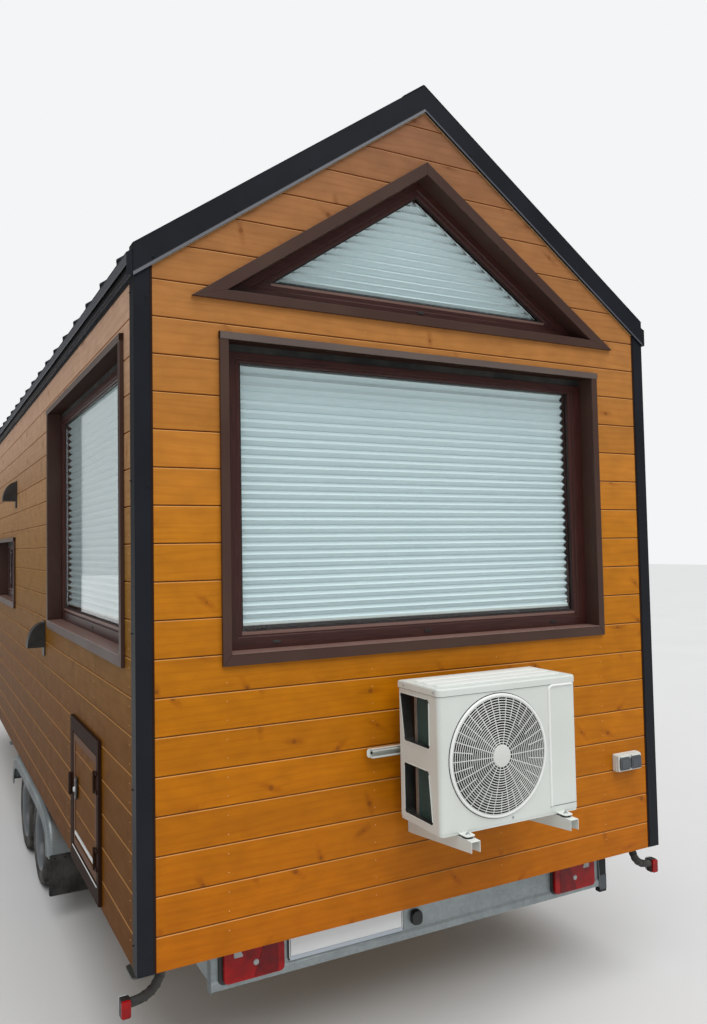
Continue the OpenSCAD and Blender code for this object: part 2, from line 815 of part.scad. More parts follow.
module unit_guard() {
  color("whitesmoke") placed() translate([fan_x, unit_y0 + 3, fan_z]) rotate([90, 0, 0])
    cylinder(d = guard_d, h = guard_t + 3, $fn = 96);
}

module unit_bracket() {
  top = unit_z0 - 2;
  color("whitesmoke") placed() {
    box([unit_x - 465, -45, wb + 612], [unit_x + 465, -20, wb + 663]);
    for (s = [-1, 1]) translate([unit_x + s * arm_pitch / 2, 0, 0]) {
      box([-arm_s / 2, -arm_l, top - arm_s], [arm_s / 2, -20, top]);
      box([-arm_s / 2, -20, top - arm_s - 40], [arm_s / 2, 0, wb + 640]);
    }
  }
}

module outdoor_socket() {
  color("whitesmoke") placed()
    box([half_w - socket_in - socket_w, -socket_d, wb + socket_low_h],
      [half_w - socket_in, 0, wb + socket_low_h + socket_h]);
}

// A quarter-round hood on a wall plate, open below for its light.
module lamp(y, z) {
  translate([-half_w, y, z]) {
    box([-8, -lamp_w / 2, 0], [0, lamp_w / 2, lamp_plate_h]);
    translate([-8, lamp_w / 2, 40]) rotate([90, 0, 0]) linear_extrude(lamp_w) difference() {
      circle(r = lamp_r);
      translate([0, -200]) square(400);
      translate([-200, -400]) square(400);
    }
  }
}

module wall_lamps() {
  color("black") placed() both_sides() {
    lamp(lamp_high_y, wb + lamp_high_h - 10);
    lamp(lamp_low_y, wb + lamp_low_h - 10);
  }
}

module tail_lamps() {
  y1 = beam_set + beam_flange - 4;
  color("red") placed() both_sides()
    box([tail_x - tail_w / 2, y1 - tail_d, beam_z0 + 20], [tail_x + tail_w / 2, y1, beam_z0 + 20 + tail_h - 12]);
}

module number_plate() {
  x0 = -chassis_w / 2 + plate_in;
  y1 = beam_set + beam_flange - 4;
  color("white") placed() {
    box([x0, y1 - 28, wb - 128], [x0 + plate_w, y1 - 24, wb - 128 + plate_h]);
    box([x0 + 30, y1 - 24, wb - 110], [x0 + plate_w - 30, y1, wb - 40]);
    box([x0 + plate_w + 38, y1 - 40, wb - 118], [x0 + plate_w + 88, y1, wb - 60]);
  }
}

// A small lamp out at each rear corner, on a bent arm from a bracket under the wall.
module marker_lamps() {
  x0 = half_w - marker_in;
  x1 = half_w + 12;
  z = wb - 100;
  color("red") placed() both_sides() {
    box([x0 - 50, 40, wb - 14], [x0 + 40, 90, wb]);
    translate([0, 90, 0]) rotate([90, 0, 0]) linear_extrude(30)
      polygon([[x0, wb - 14], [x0 + 40, wb - 14], [x1, z - 20], [x1, z - 40], [x1 - 22, z - 40],
        [x0, wb - 30]]);
    box([x1, 65 - marker_s / 2, z - marker_s], [x1 + 36, 65 + marker_s / 2, z]);
  }
}

chassis_rails();
chassis_crossbars();
rear_beam();
drawbar();
coupling();
stands();
axles();
tyres();
wheel_rims();
mudguard_left();
mudguard_right();
mudflaps();
floor();
wall_rear();
wall_front();
wall_left();
wall_left_low();
wall_right();
roof_left();
roof_right();
roof_sheet_left();
roof_sheet_right();
ridge_cap();
verge_trims();
eave_trims();
corner_trims();
end_casings();
end_frames();
end_glass();
blinds();
side_casings();
side_frames();
side_glass();
entry_door();
hatch_casing();
hatch_leaf();
hatch_lock();
unit_housing();
unit_guard();
unit_bracket();
outdoor_socket();
wall_lamps();
tail_lamps();
number_plate();
marker_lamps();
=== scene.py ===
"""Tiny house on a two-axle trailer, dressed over its CAD frame.

Lengths are metres in the CAD frame. House measures are counted from the rear
wall's boarded face along Y and from the wall bottom along Z, through Side.matrix.
"""
import json
import logging
import math
from dataclasses import dataclass
from enum import Enum
from typing import Any, Iterable, Sequence

import bmesh
import bpy
from mathutils import Matrix, Vector
from mathutils.geometry import tessellate_polygon

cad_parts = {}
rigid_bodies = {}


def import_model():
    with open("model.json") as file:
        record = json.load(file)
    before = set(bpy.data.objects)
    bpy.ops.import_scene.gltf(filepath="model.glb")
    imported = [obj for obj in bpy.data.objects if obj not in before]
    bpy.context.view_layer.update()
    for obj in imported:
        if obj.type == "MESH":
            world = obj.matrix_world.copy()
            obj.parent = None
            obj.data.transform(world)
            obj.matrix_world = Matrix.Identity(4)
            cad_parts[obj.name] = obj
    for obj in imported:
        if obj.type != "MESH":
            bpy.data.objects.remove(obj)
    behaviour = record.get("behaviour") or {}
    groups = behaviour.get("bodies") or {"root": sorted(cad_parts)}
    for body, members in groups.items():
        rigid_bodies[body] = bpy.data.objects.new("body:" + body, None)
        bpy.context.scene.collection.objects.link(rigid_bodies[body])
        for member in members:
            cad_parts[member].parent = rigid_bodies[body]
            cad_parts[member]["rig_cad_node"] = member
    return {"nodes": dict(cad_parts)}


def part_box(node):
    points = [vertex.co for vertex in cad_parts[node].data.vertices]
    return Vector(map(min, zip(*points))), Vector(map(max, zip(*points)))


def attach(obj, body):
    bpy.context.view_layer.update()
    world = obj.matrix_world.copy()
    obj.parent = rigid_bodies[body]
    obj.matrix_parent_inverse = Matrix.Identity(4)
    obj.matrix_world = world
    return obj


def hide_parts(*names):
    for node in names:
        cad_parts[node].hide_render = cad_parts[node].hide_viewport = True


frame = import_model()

log = logging.getLogger("tiny_house")
Outline = Sequence[tuple[float, float]]
Points = list[tuple[float, float]]
Tree = bpy.types.NodeTree
Node = bpy.types.Node
Socket = bpy.types.NodeSocket
Mesh = bpy.types.Mesh
HOUSE = "house"
HATCH = "hatch"


class Axis(Enum):
    """A direction of the frame, with the two others that an outline is drawn in."""

    X = 0
    Y = 1
    Z = 2

    def point(self, pair: tuple[float, float], along: float) -> Vector:
        """The point at a place along this axis and a pair of measures on the two others."""
        values = list(pair)
        values.insert(self.value, along)
        return Vector(values)


def linear(code: str) -> tuple[float, float, float, float]:
    """Turns an sRGB hex colour into linear RGBA.

    Args:
        code: Six hex digits, with or without a leading hash.

    Returns:
        The colour as Blender's sockets take it.
    """
    digits = code.lstrip("#")
    parts = [int(digits[i : i + 2], 16) / 255 for i in (0, 2, 4)]
    return (*(p / 12.92 if p <= 0.04045 else ((p + 0.055) / 1.055) ** 2.4 for p in parts), 1.0)


def feed(tree: Tree, node: Node, inputs: dict[str | int, Any]) -> None:
    """Sets a node's inputs, and links those whose value is a socket.

    Args:
        tree: The node's tree.
        node: The node.
        inputs: Values or sockets, by the input's name or number.
    """
    for key, value in inputs.items():
        if isinstance(value, Socket):
            tree.links.new(value, node.inputs[key])
        else:
            node.inputs[key].default_value = value


def add_node(
    tree: Tree,
    kind: str,
    settings: dict[str, Any] | None = None,
    inputs: dict[str | int, Any] | None = None,
) -> Node:
    """Adds one node with its settings and its inputs.

    Args:
        tree: The tree that takes the node.
        kind: The node's type name.
        settings: Attributes to set on the node.
        inputs: Values or sockets, by the input's name or number.

    Returns:
        The new node.
    """
    node = tree.nodes.new(kind)
    for name, value in (settings or {}).items():
        setattr(node, name, value)
    feed(tree, node, inputs or {})
    return node


@dataclass(frozen=True)
class Finish:
    """A surface finish, which makes its material once and then hands it out."""

    title: str

    def material(self) -> bpy.types.Material:
        """The finish's material."""
        found = bpy.data.materials.get(self.title)
        if found:
            return found
        made = bpy.data.materials.new(self.title)
        made.use_nodes = True
        tree = made.node_tree
        tree.nodes.clear()
        shader = add_node(tree, "ShaderNodeBsdfPrincipled")
        add_node(tree, "ShaderNodeOutputMaterial", inputs={"Surface": shader.outputs[0]})
        self.dress(tree, shader, add_node(tree, "ShaderNodeTexCoord").outputs["Object"])
        return made

    def dress(self, tree: Tree, shader: Node, spot: Socket) -> None:
        """Sets the shader; each finish has its own."""
        raise NotImplementedError

    @staticmethod
    def grain(
        tree: Tree, spot: Socket, along: Axis, scales: tuple[float, float], detail: float
    ) -> Socket:
        """Noise drawn out along an axis.

        Args:
            tree: The material's tree.
            spot: Where a point lies on the piece.
            along: The axis that the noise is drawn out along.
            scales: How fine it is across that axis and along it.
            detail: How many finer layers it has.

        Returns:
            The noise, from 0 to 1.
        """
        scale = [scales[0]] * 3
        scale[along.value] = scales[1]
        drawn = add_node(
            tree, "ShaderNodeVectorMath", {"operation": "MULTIPLY"}, {0: spot, 1: scale}
        )
        inputs = {"Vector": drawn.outputs[0], "Scale": 1.0, "Detail": detail}
        return add_node(tree, "ShaderNodeTexNoise", inputs=inputs).outputs[0]

    @staticmethod
    def coat(
        tree: Tree,
        shader: Node,
        tones: tuple[str, str],
        factor: Socket,
        values: dict[str, Any],
        relief: tuple[Socket, float, float] | None = None,
    ) -> None:
        """Gives the shader its colour, its other inputs and a relief.

        Args:
            tree: The material's tree.
            shader: Its shader.
            tones: Two sRGB colours.
            factor: How much of the second tone there is at a point.
            values: Values or sockets of the shader's other inputs.
            relief: The relief's height, its depth in metres and its strength.
        """
        inputs = {0: factor, 6: linear(tones[0]), 7: linear(tones[1])}
        mixed = add_node(tree, "ShaderNodeMix", {"data_type": "RGBA"}, inputs)
        feed(tree, shader, {"Base Color": mixed.outputs[2], **values})
        if relief:
            inputs = dict(zip(("Height", "Distance", "Strength"), relief))
            feed(
                tree, shader, {"Normal": add_node(tree, "ShaderNodeBump", inputs=inputs).outputs[0]}
            )


@dataclass(frozen=True)
class StainedBoards(Finish):
    """Planed spruce cladding under a satin amber stain: soft grain, knots, a thin gloss."""

    along: Axis
    ramp: tuple[tuple[float, str], ...]
    shine: float
    pitch: float = 0.13445
    base_z: float = 0.0
    tint: float = 1.0

    def dress(self, tree: Tree, shader: Node, spot: Socket) -> None:
        """Lays grain, rings, knots and a shade for each board over the stain."""
        parts = add_node(tree, "ShaderNodeSeparateXYZ", inputs={0: spot}).outputs
        run, height = parts[self.along.value], parts[2]

        def calc(operation: str, *numbers: Any) -> Socket:
            """One sum on one to three numbers."""
            settings = {"operation": operation}
            return add_node(tree, "ShaderNodeMath", settings, dict(enumerate(numbers))).outputs[0]

        def blend(factor: Any, a: Any, b: Any, mode: str = "MIX") -> Socket:
            """One blend of two colours."""
            settings = {"data_type": "RGBA", "blend_type": mode}
            return add_node(tree, "ShaderNodeMix", settings, {0: factor, 6: a, 7: b}).outputs[2]

        def chance(number: Any) -> Socket:
            """A chance value for a number."""
            settings = {"noise_dimensions": "1D"}
            return add_node(tree, "ShaderNodeTexWhiteNoise", settings, {"W": number}).outputs[0]

        def drawn(along: float, up: float, detail: float, step: float = 1.0) -> Socket:
            """Noise drawn out by its scales along the board and up, other on each board."""
            scaled = {0: calc("MULTIPLY", shift, along), 1: calc("MULTIPLY", row, step)}
            place = add_node(
                tree, "ShaderNodeCombineXYZ", inputs={**scaled, 2: calc("MULTIPLY", height, up)}
            )
            inputs = {"Vector": place.outputs[0], "Scale": 1.0, "Detail": detail}
            return add_node(tree, "ShaderNodeTexNoise", inputs=inputs).outputs[0]

        level = calc("DIVIDE", calc("SUBTRACT", height, self.base_z), self.pitch)
        row = calc("FLOOR", level)
        shift = calc("MULTIPLY_ADD", chance(row), 37.0, run)
        # Knots sit in cells as high as a board, so their scale is one over the board pitch.
        inputs = {0: calc("DIVIDE", shift, self.pitch), 1: level, 2: 0.0}
        cell = add_node(tree, "ShaderNodeCombineXYZ", inputs=inputs).outputs[0]
        inputs = {"Vector": cell, "Scale": 0.8, "Randomness": 0.8}
        knots = add_node(tree, "ShaderNodeTexVoronoi", {"voronoi_dimensions": "2D"}, inputs).outputs
        pick = add_node(tree, "ShaderNodeSeparateColor", inputs={0: knots["Color"]}).outputs
        there = calc("GREATER_THAN", pick[0], 0.58)
        inputs = {0: cell, 1: knots["Position"]}
        away = add_node(tree, "ShaderNodeVectorMath", {"operation": "SUBTRACT"}, inputs).outputs[0]
        inputs = {"Vector": away, "Angle": calc("MULTIPLY_ADD", pick[1], 2.4, -0.9)}
        slant = add_node(
            tree, "ShaderNodeVectorRotate", {"rotation_type": "Z_AXIS"}, inputs
        ).outputs[0]
        inputs = {0: slant, 1: (0.34, 1.25, 0)}
        long = add_node(tree, "ShaderNodeVectorMath", {"operation": "MULTIPLY"}, inputs).outputs[0]
        reach = add_node(
            tree, "ShaderNodeVectorMath", {"operation": "LENGTH"}, {0: long}
        ).outputs[1]
        size = calc("MULTIPLY_ADD", pick[2], 0.045, 0.03)
        core = calc("MULTIPLY", calc("SUBTRACT", 1.0, calc("DIVIDE", knots["Distance"], size)), 3.0)
        core = calc("MULTIPLY", there, calc("MAXIMUM", calc("MINIMUM", core, 1.0), 0.0))
        halo = calc("MAXIMUM", calc("SUBTRACT", 1.0, calc("DIVIDE", reach, 0.17)), 0.0)
        halo = calc("MULTIPLY", there, halo)
        # Growth rings show as bands some 12 to 18 mm apart that run with the board.
        phase = calc(
            "MULTIPLY_ADD", drawn(0.9, 7.0, 2.0, 3.7), 26.0, calc("MULTIPLY", height, 210.0)
        )
        phase = calc("MULTIPLY_ADD", halo, 5.0, phase)
        rings = calc("POWER", calc("MULTIPLY_ADD", calc("SINE", phase), 0.5, 0.5), 3.0)
        # Fibres are about a millimetre across, drawn 3 mm wide so that they show.
        fibre = drawn(7.0, 330.0, 3.0)
        patch = drawn(9.0, 15.0, 4.0)

        # The colour ramp gives the amber stain, darkened towards the foot and paled towards the
        # eaves: painted light and shade.
        top = self.ramp[-1][0]
        rise = calc("DIVIDE", calc("SUBTRACT", height, self.base_z), top)
        scale = add_node(tree, "ShaderNodeValToRGB", inputs={0: rise})
        stops = scale.color_ramp.elements
        for i, (level_z, code) in enumerate(self.ramp):
            stop = stops[i] if i < 2 else stops.new(level_z / top)
            stop.position, stop.color = level_z / top, linear(code)
        value = calc("MULTIPLY_ADD", chance(calc("ADD", row, 40.5)), 0.16, 0.92)
        value = calc("MULTIPLY", value, calc("MULTIPLY_ADD", patch, -0.5, 1.25))
        inputs = {"Value": calc("MULTIPLY", value, self.tint), "Color": scale.outputs[0]}
        colour = add_node(tree, "ShaderNodeHueSaturation", inputs=inputs).outputs[0]
        for amount, code, mode in (
            (calc("MULTIPLY", rings, 0.11), "#B07A48", "MULTIPLY"),
            (calc("MULTIPLY_ADD", fibre, 0.5, -0.14), "#C08A58", "MULTIPLY"),
            (calc("MULTIPLY", halo, 0.42), "#A8743E", "MULTIPLY"),
            (calc("MULTIPLY", core, 0.5), "#6A3A10", "MIX"),
        ):
            colour = blend(amount, colour, linear(code), mode)
        # Each board's upper arris is painted lighter, a painted highlight, and a strip along its
        # lower edge darker, a painted shade.
        part = calc("FRACT", level)
        for low, high, code, amount in (
            (0.96, 0.972, "#DDA668", 0.5), (0.034, 0.02, "#7A3A12", 0.55)
        ):
            edge = add_node(
                tree, "ShaderNodeMapRange", inputs={"Value": part, 1: low, 2: high}
            ).outputs[0]
            colour = blend(calc("MULTIPLY", edge, amount), colour, linear(code))
        relief = calc("ADD", calc("MULTIPLY", fibre, 0.5), calc("MULTIPLY", rings, 0.5))
        inputs = {"Strength": 0.22, "Distance": 0.0006, "Height": relief}
        values = {
            "Base Color": colour, "Roughness": calc("MULTIPLY_ADD", patch, 0.12, 0.42),
            "Normal": add_node(tree, "ShaderNodeBump", inputs=inputs).outputs[0],
            "Specular IOR Level": self.shine,
        }
        feed(tree, shader, values)


@dataclass(frozen=True)
class PlanedSpruce(Finish):
    """Bare planed spruce panelling: pale, matt, with faint boards and grain."""

    along: Axis = Axis.Y

    def dress(self, tree: Tree, shader: Node, spot: Socket) -> None:
        """Lays soft stretched grain over a pale wood colour."""
        grain = self.grain(tree, spot, self.along, (60.0, 2.0), 4.0)
        tones = ("#D9B98A", "#BF9662")
        self.coat(tree, shader, tones, grain, {"Roughness": 0.6}, (grain, 0.0005, 0.2))


@dataclass(frozen=True)
class CoatedSheet(Finish):
    """Folded steel sheet with a baked polyester coat: even, satin, slightly mottled."""

    colour: str
    worn: str
    roughness: float = 0.42
    shine: float = 0.5
    grain_mm: float = 1.5
    relief_mm: float = 0.03

    def dress(self, tree: Tree, shader: Node, spot: Socket) -> None:
        """Adds a cloudy film of dust and the coat's fine orange-peel."""
        cloud, peel = (
            add_node(
                tree, "ShaderNodeTexNoise",
                inputs={"Vector": spot, "Scale": scale, "Detail": detail},
            )
            for scale, detail in ((3.5, 5.0), (1000 / self.grain_mm, 1.0))
        )
        film, rough = (
            add_node(
                tree, "ShaderNodeMapRange", inputs={"Value": cloud.outputs[0], **limits}
            ).outputs[0]
            for limits in (
                {1: 0.4, 2: 0.75, 3: 0.0, 4: 0.6},
                {3: self.roughness - 0.06, 4: self.roughness + 0.1},
            )
        )
        values = {"Specular IOR Level": self.shine, "Roughness": rough}
        relief = (peel.outputs[0], self.relief_mm / 1000, 0.3)
        self.coat(tree, shader, (self.colour, self.worn), film, values, relief)


@dataclass(frozen=True)
class FoiledProfile(Finish):
    """Extruded PVC window profile under a dark mahogany foil: fine grain along the bar."""

    along: Axis

    def dress(self, tree: Tree, shader: Node, spot: Socket) -> None:
        """Draws the foil's printed grain along the bar, with its embossed pores."""
        grain = self.grain(tree, spot, self.along, (420.0, 9.0), 3.0)
        inputs = {"Value": grain, 1: 0.3, 2: 0.7, 3: 0.0, 4: 1.0}
        spread = add_node(tree, "ShaderNodeMapRange", inputs=inputs).outputs[0]
        values = {"Roughness": 0.38, "Specular IOR Level": 0.3}
        self.coat(tree, shader, ("#4A2823", "#2E1815"), spread, values, (spread, 0.0003, 0.25))


@dataclass(frozen=True)
class Glazing(Finish):
    """Float glass of a sealed unit: clear, faintly green, mirror smooth."""

    def dress(self, tree: Tree, shader: Node, spot: Socket) -> None:
        """Lets shadow rays through, so that what stands behind the pane is lit."""
        inputs = {"Vector": spot, "Scale": 1.2, "Detail": 1.0}
        wave = add_node(tree, "ShaderNodeTexNoise", inputs=inputs).outputs[0]
        values = {"Roughness": 0.0, "IOR": 1.45, "Transmission Weight": 1.0}
        self.coat(tree, shader, ("#FDFEFE", "#F8FBFB"), wave, values)
        path = add_node(tree, "ShaderNodeLightPath").outputs
        through = add_node(tree, "ShaderNodeBsdfTransparent", inputs={0: linear("#F4F9F9")})
        inputs = {0: path["Is Shadow Ray"], 1: path["Is Diffuse Ray"]}
        eased = add_node(tree, "ShaderNodeMath", {"operation": "MAXIMUM"}, inputs)
        inputs = dict(enumerate(node.outputs[0] for node in (eased, shader, through)))
        mixed = add_node(tree, "ShaderNodeMixShader", inputs=inputs)
        output = next(n for n in tree.nodes if n.type == "OUTPUT_MATERIAL")
        feed(tree, output, {"Surface": mixed.outputs[0]})


@dataclass(frozen=True)
class PleatedCloth(Finish):
    """Woven polyester of a pleated blind: pale, matt, with a fine weave."""

    thread_m: float = 0.0015

    def dress(self, tree: Tree, shader: Node, spot: Socket) -> None:
        """Weaves threads, drawn 1.5 mm apart so that they show, over a pale bluish white."""
        inputs = {"Vector": spot, "Scale": 0.314 / self.thread_m, "Distortion": 0.3}
        waves = [
            add_node(tree, "ShaderNodeTexWave", {"bands_direction": way}, inputs).outputs["Fac"]
            for way in ("X", "Z")
        ]
        weave = add_node(tree, "ShaderNodeMath", {"operation": "MULTIPLY"}, dict(enumerate(waves)))
        inputs = {"Vector": spot, "Scale": 2.0, "Detail": 3.0}
        cloud = add_node(tree, "ShaderNodeTexNoise", inputs=inputs).outputs[0]
        values = {"Roughness": 0.85, "Sheen Weight": 0.15}
        relief = (weave.outputs[0], 0.0003, 0.3)
        self.coat(tree, shader, ("#E4EEF0", "#D6E3E6"), cloud, values, relief)


@dataclass(frozen=True)
class GalvanisedSteel(Finish):
    """Hot-dip galvanised steel: grey, with zinc crystals and a dull bloom."""

    bright: str
    dull: str
    crystal_m: float = 0.012

    def dress(self, tree: Tree, shader: Node, spot: Socket) -> None:
        """Draws zinc crystals some 12 mm across and a cloudy bloom over them."""
        inputs = {"Vector": spot, "Scale": 1 / self.crystal_m}
        crystal = add_node(tree, "ShaderNodeTexVoronoi", inputs=inputs).outputs["Color"]
        value = add_node(tree, "ShaderNodeSeparateColor", inputs={0: crystal}).outputs[0]
        inputs = {"Vector": spot, "Scale": 6.0, "Detail": 5.0}
        cloud = add_node(tree, "ShaderNodeTexNoise", inputs=inputs).outputs[0]
        inputs = {0: value, 1: 0.2, 2: cloud}
        mixed = add_node(tree, "ShaderNodeMath", {"operation": "MULTIPLY_ADD"}, inputs).outputs[0]
        part, rough = (
            add_node(tree, "ShaderNodeMapRange", inputs={"Value": mixed, **limits}).outputs[0]
            for limits in ({1: 0.3, 2: 0.95}, {3: 0.36, 4: 0.6})
        )
        values = {"Metallic": 0.85, "Roughness": rough}
        self.coat(tree, shader, (self.bright, self.dull), part, values, (cloud, 0.0004, 0.15))


@dataclass(frozen=True)
class Moulding(Finish):
    """Moulded plastic or rubber: one colour, a fine mould texture and a little dust."""

    colour: str
    roughness: float = 0.4
    grain_mm: float = 1.2
    relief_mm: float = 0.05
    dust: float = 0.15
    dust_tone: str = "#9A958C"

    def dress(self, tree: Tree, shader: Node, spot: Socket) -> None:
        """Adds the mould's fine texture and a cloudy film of dust."""
        cloud, fine = (
            add_node(
                tree, "ShaderNodeTexNoise",
                inputs={"Vector": spot, "Scale": scale, "Detail": detail},
            )
            for scale, detail in ((9.0, 4.0), (1000 / self.grain_mm, 2.0))
        )
        inputs = {"Value": cloud.outputs[0], 1: 0.35, 2: 0.8, 3: 0.0, 4: self.dust}
        film = add_node(tree, "ShaderNodeMapRange", inputs=inputs).outputs[0]
        relief = (fine.outputs[0], self.relief_mm / 1000, 0.3)
        values = {"Roughness": self.roughness}
        self.coat(tree, shader, (self.colour, self.dust_tone), film, values, relief)


@dataclass(frozen=True)
class LampLens(Finish):
    """Moulded acrylic lamp lens: deep clear colour over a field of small prisms."""

    colour: str
    deep: str
    prism_mm: float = 5.0

    def dress(self, tree: Tree, shader: Node, spot: Socket) -> None:
        """Draws rows of prisms behind a glossy face."""
        inputs = {"Vector": spot, "Scale": 1000 / self.prism_mm, "Randomness": 0.0}
        settings = {"distance": "CHEBYCHEV"}
        prism = add_node(tree, "ShaderNodeTexVoronoi", settings, inputs).outputs["Distance"]
        inputs = {"Vector": spot, "Scale": 22.0, "Detail": 2.0}
        cloud = add_node(tree, "ShaderNodeTexNoise", inputs=inputs).outputs[0]
        inputs = {0: prism, 1: 0.7, 2: cloud}
        part = add_node(tree, "ShaderNodeMath", {"operation": "MULTIPLY_ADD"}, inputs).outputs[0]
        factor = add_node(
            tree, "ShaderNodeMapRange", inputs={"Value": part, 1: 0.3, 2: 1.1}
        ).outputs[0]
        values = {"Roughness": 0.16, "Specular IOR Level": 0.3}
        self.coat(tree, shader, (self.colour, self.deep), factor, values, (prism, 0.001, 0.25))


@dataclass(frozen=True)
class FinnedCoil(Finish):
    """Coated aluminium fins of a heat exchanger: dark green, finely ribbed upright."""

    fin_m: float = 0.002

    def dress(self, tree: Tree, shader: Node, spot: Socket) -> None:
        """Draws fins, 2 mm apart, with a darker bend here and there."""
        inputs = {"Vector": spot, "Scale": 0.314 / self.fin_m, "Distortion": 0.2}
        fins = add_node(tree, "ShaderNodeTexWave", {"bands_direction": "Y"}, inputs).outputs["Fac"]
        inputs = {"Vector": spot, "Scale": 14.0, "Detail": 3.0}
        cloud = add_node(tree, "ShaderNodeTexNoise", inputs=inputs).outputs[0]
        both = add_node(
            tree, "ShaderNodeMath", {"operation": "MULTIPLY"}, {0: fins, 1: cloud}
        ).outputs[0]
        self.coat(
            tree, shader, ("#1E3434", "#42706C"), both, {"Roughness": 0.45}, (fins, 0.001, 0.5)
        )


@dataclass(frozen=True)
class StudioFloor(Finish):
    """Pale matt seamless paper, which keeps the object's shadow."""

    def dress(self, tree: Tree, shader: Node, spot: Socket) -> None:
        """Mottles the paper very slightly."""
        inputs = {"Vector": spot, "Scale": 0.7, "Detail": 3.0}
        cloud = add_node(tree, "ShaderNodeTexNoise", inputs=inputs).outputs[0]
        self.coat(tree, shader, ("#D2D3D3", "#CBCCCC"), cloud, {"Roughness": 0.9})


ANTHRACITE = CoatedSheet("anthracite coated steel sheet", "#191C22", "#21242B", 0.45, 0.14)
ROOF_SHEET = CoatedSheet("anthracite standing seam steel sheet", "#20252C", "#2B3138", 0.48, 0.25)
BROWN_SHEET = CoatedSheet("chocolate coated aluminium sheet", "#442F28", "#503C33", 0.42, 0.25)
WHITE_SHEET = CoatedSheet("white powder coated steel sheet", "#D4D9D4", "#C8CBC3", 0.42)
WHITE_PLASTIC = Moulding("white moulded polypropylene", "#D2D5D0", 0.4, dust=0.1)
GREY_PLASTIC = Moulding("slate grey moulded ABS", "#43494F", 0.45, dust=0.12)
BLACK_PLASTIC = Moulding("black moulded ABS", "#17181A", 0.45, dust=0.12)
# Near black stands for painted shade inside openings, gaps and holes.
PAINTED_SHADE_BLACK = Moulding("near-black painted shade", "#121415", 0.7, dust=0.15)
GASKET = Moulding("black rubber gasket", "#0F0F10", 0.7, dust=0.05)
TYRE = Moulding("vulcanised tyre rubber", "#1E1E1E", 0.82, grain_mm=3.0, relief_mm=0.3, dust=0.35)
FLAP = Moulding(
    "black pressed rubber sheet", "#191A1A", 0.75, grain_mm=2.0, relief_mm=0.1, dust=0.3
)
STEEL = GalvanisedSteel("hot-dip galvanised steel", "#A0A8AA", "#8A9294")
# This is the galvanised steel painted darker: painted shade on the mudguard sides and beam ends.
STEEL_PAINTED_SHADE = GalvanisedSteel("galvanised steel in painted shade", "#868C8E", "#6C7274")
SCREW = GalvanisedSteel("zinc plated screw steel", "#C8CCCE", "#A4A9AC")
CAST = CoatedSheet("black painted cast steel", "#17181A", "#242628", 0.5, 0.3)
# The rims' silver is darkened to mid grey, painted shade under the mudguards.
RIM_PAINT_PAINTED_SHADE = CoatedSheet("silver painted wheel steel in painted shade", "#686C70", "#585C60", 0.36)
PLATE = Moulding("white reflective plate sheet", "#E4E7E8", 0.3, dust=0.06)
FOIL_X = FoiledProfile("mahogany foiled PVC, grain across the house", Axis.X)
FOIL_Y = FoiledProfile("mahogany foiled PVC, grain along the house", Axis.Y)
FOIL_Z = FoiledProfile("mahogany foiled PVC, grain upright", Axis.Z)
GLASS = Glazing("clear float glass")
CLOTH = PleatedCloth("woven polyester blind cloth")
COIL = FinnedCoil("green coated aluminium fins")
RED_LENS = LampLens("red acrylic lens", "#B00006", "#6A0003")
DEEP_LENS = LampLens("dark red acrylic lens", "#8A0008", "#4A0004", 8.0)
CLEAR_LENS = LampLens("clear acrylic lens", "#C4C6C6", "#8E9292", 8.0)
HOLDER = Moulding("blue grey moulded ABS", "#B4BEC8", 0.45, dust=0.1)
# This is the white plastic painted brighter: a painted highlight on beads, ribs and rims.
WHITE_PAINTED_HIGHLIGHT = Moulding("white moulded polypropylene with painted highlight", "#E9EBE8", 0.35, dust=0.04)
# The cap sheet is the brown sheet painted grey brown: a painted sky sheen on caps.
CAP_SHEET_PAINTED_SHEEN = CoatedSheet("brown coated aluminium cap with painted sky sheen", "#5E514C", "#6A5D54", 0.42, 0.3)
# The lip sheet is the anthracite painted lighter: a painted highlight where a lip faces the sky.
LIP_SHEET_PAINTED_HIGHLIGHT = CoatedSheet("anthracite coated steel lip with painted highlight", "#494B52", "#565860", 0.42, 0.3)
# The bead sheet is the brown painted lighter: a painted highlight on sills and beads that face the
# sky.
BEAD_PAINTED_HIGHLIGHT = CoatedSheet("brown coated aluminium bead with painted highlight", "#745850", "#82665C", 0.4, 0.4)
DARK_CASING = CoatedSheet("dark brown coated aluminium sheet", "#2A160C", "#362016", 0.7, 0.15)
BRIGHT = CoatedSheet("brushed stainless steel sheet", "#D4D6D6", "#B4B8BA", 0.3)
DIFFUSER = Moulding("white opal acrylic", "#ECECE6", 0.35, dust=0.05)
NAIL = CoatedSheet("stained nail head", "#CE9A5C", "#B07C40", 0.4, 0.3)
LEAF_SHEET = CoatedSheet("brown coated aluminium sheet", "#5E3E2A", "#6C4A36", 0.6, 0.2)
PANELLING = PlanedSpruce("planed spruce panelling")
FLOORING = PlanedSpruce("oiled spruce floorboards", Axis.Y)


def folded(points: Outline, thickness: float) -> Points:
    """Gives a bent line of sheet its thickness.

    Args:
        points: The line, from edge to edge.
        thickness: The sheet's thickness, laid on the line's left.

    Returns:
        The closed outline of the sheet's section.
    """
    line = [Vector(p) for p in points]
    steps = [(b - a).normalized() for a, b in zip(line, line[1:])]
    other = []
    for i, point in enumerate(line):
        first = steps[max(i - 1, 0)]
        last = steps[min(i, len(steps) - 1)]
        one, two = Vector((-first.y, first.x)), Vector((-last.y, last.x))
        other.append(tuple(point + (one + two) * thickness / (1 + max(one.dot(two), -0.6))))
    return [*(tuple(p) for p in line), *reversed(other)]


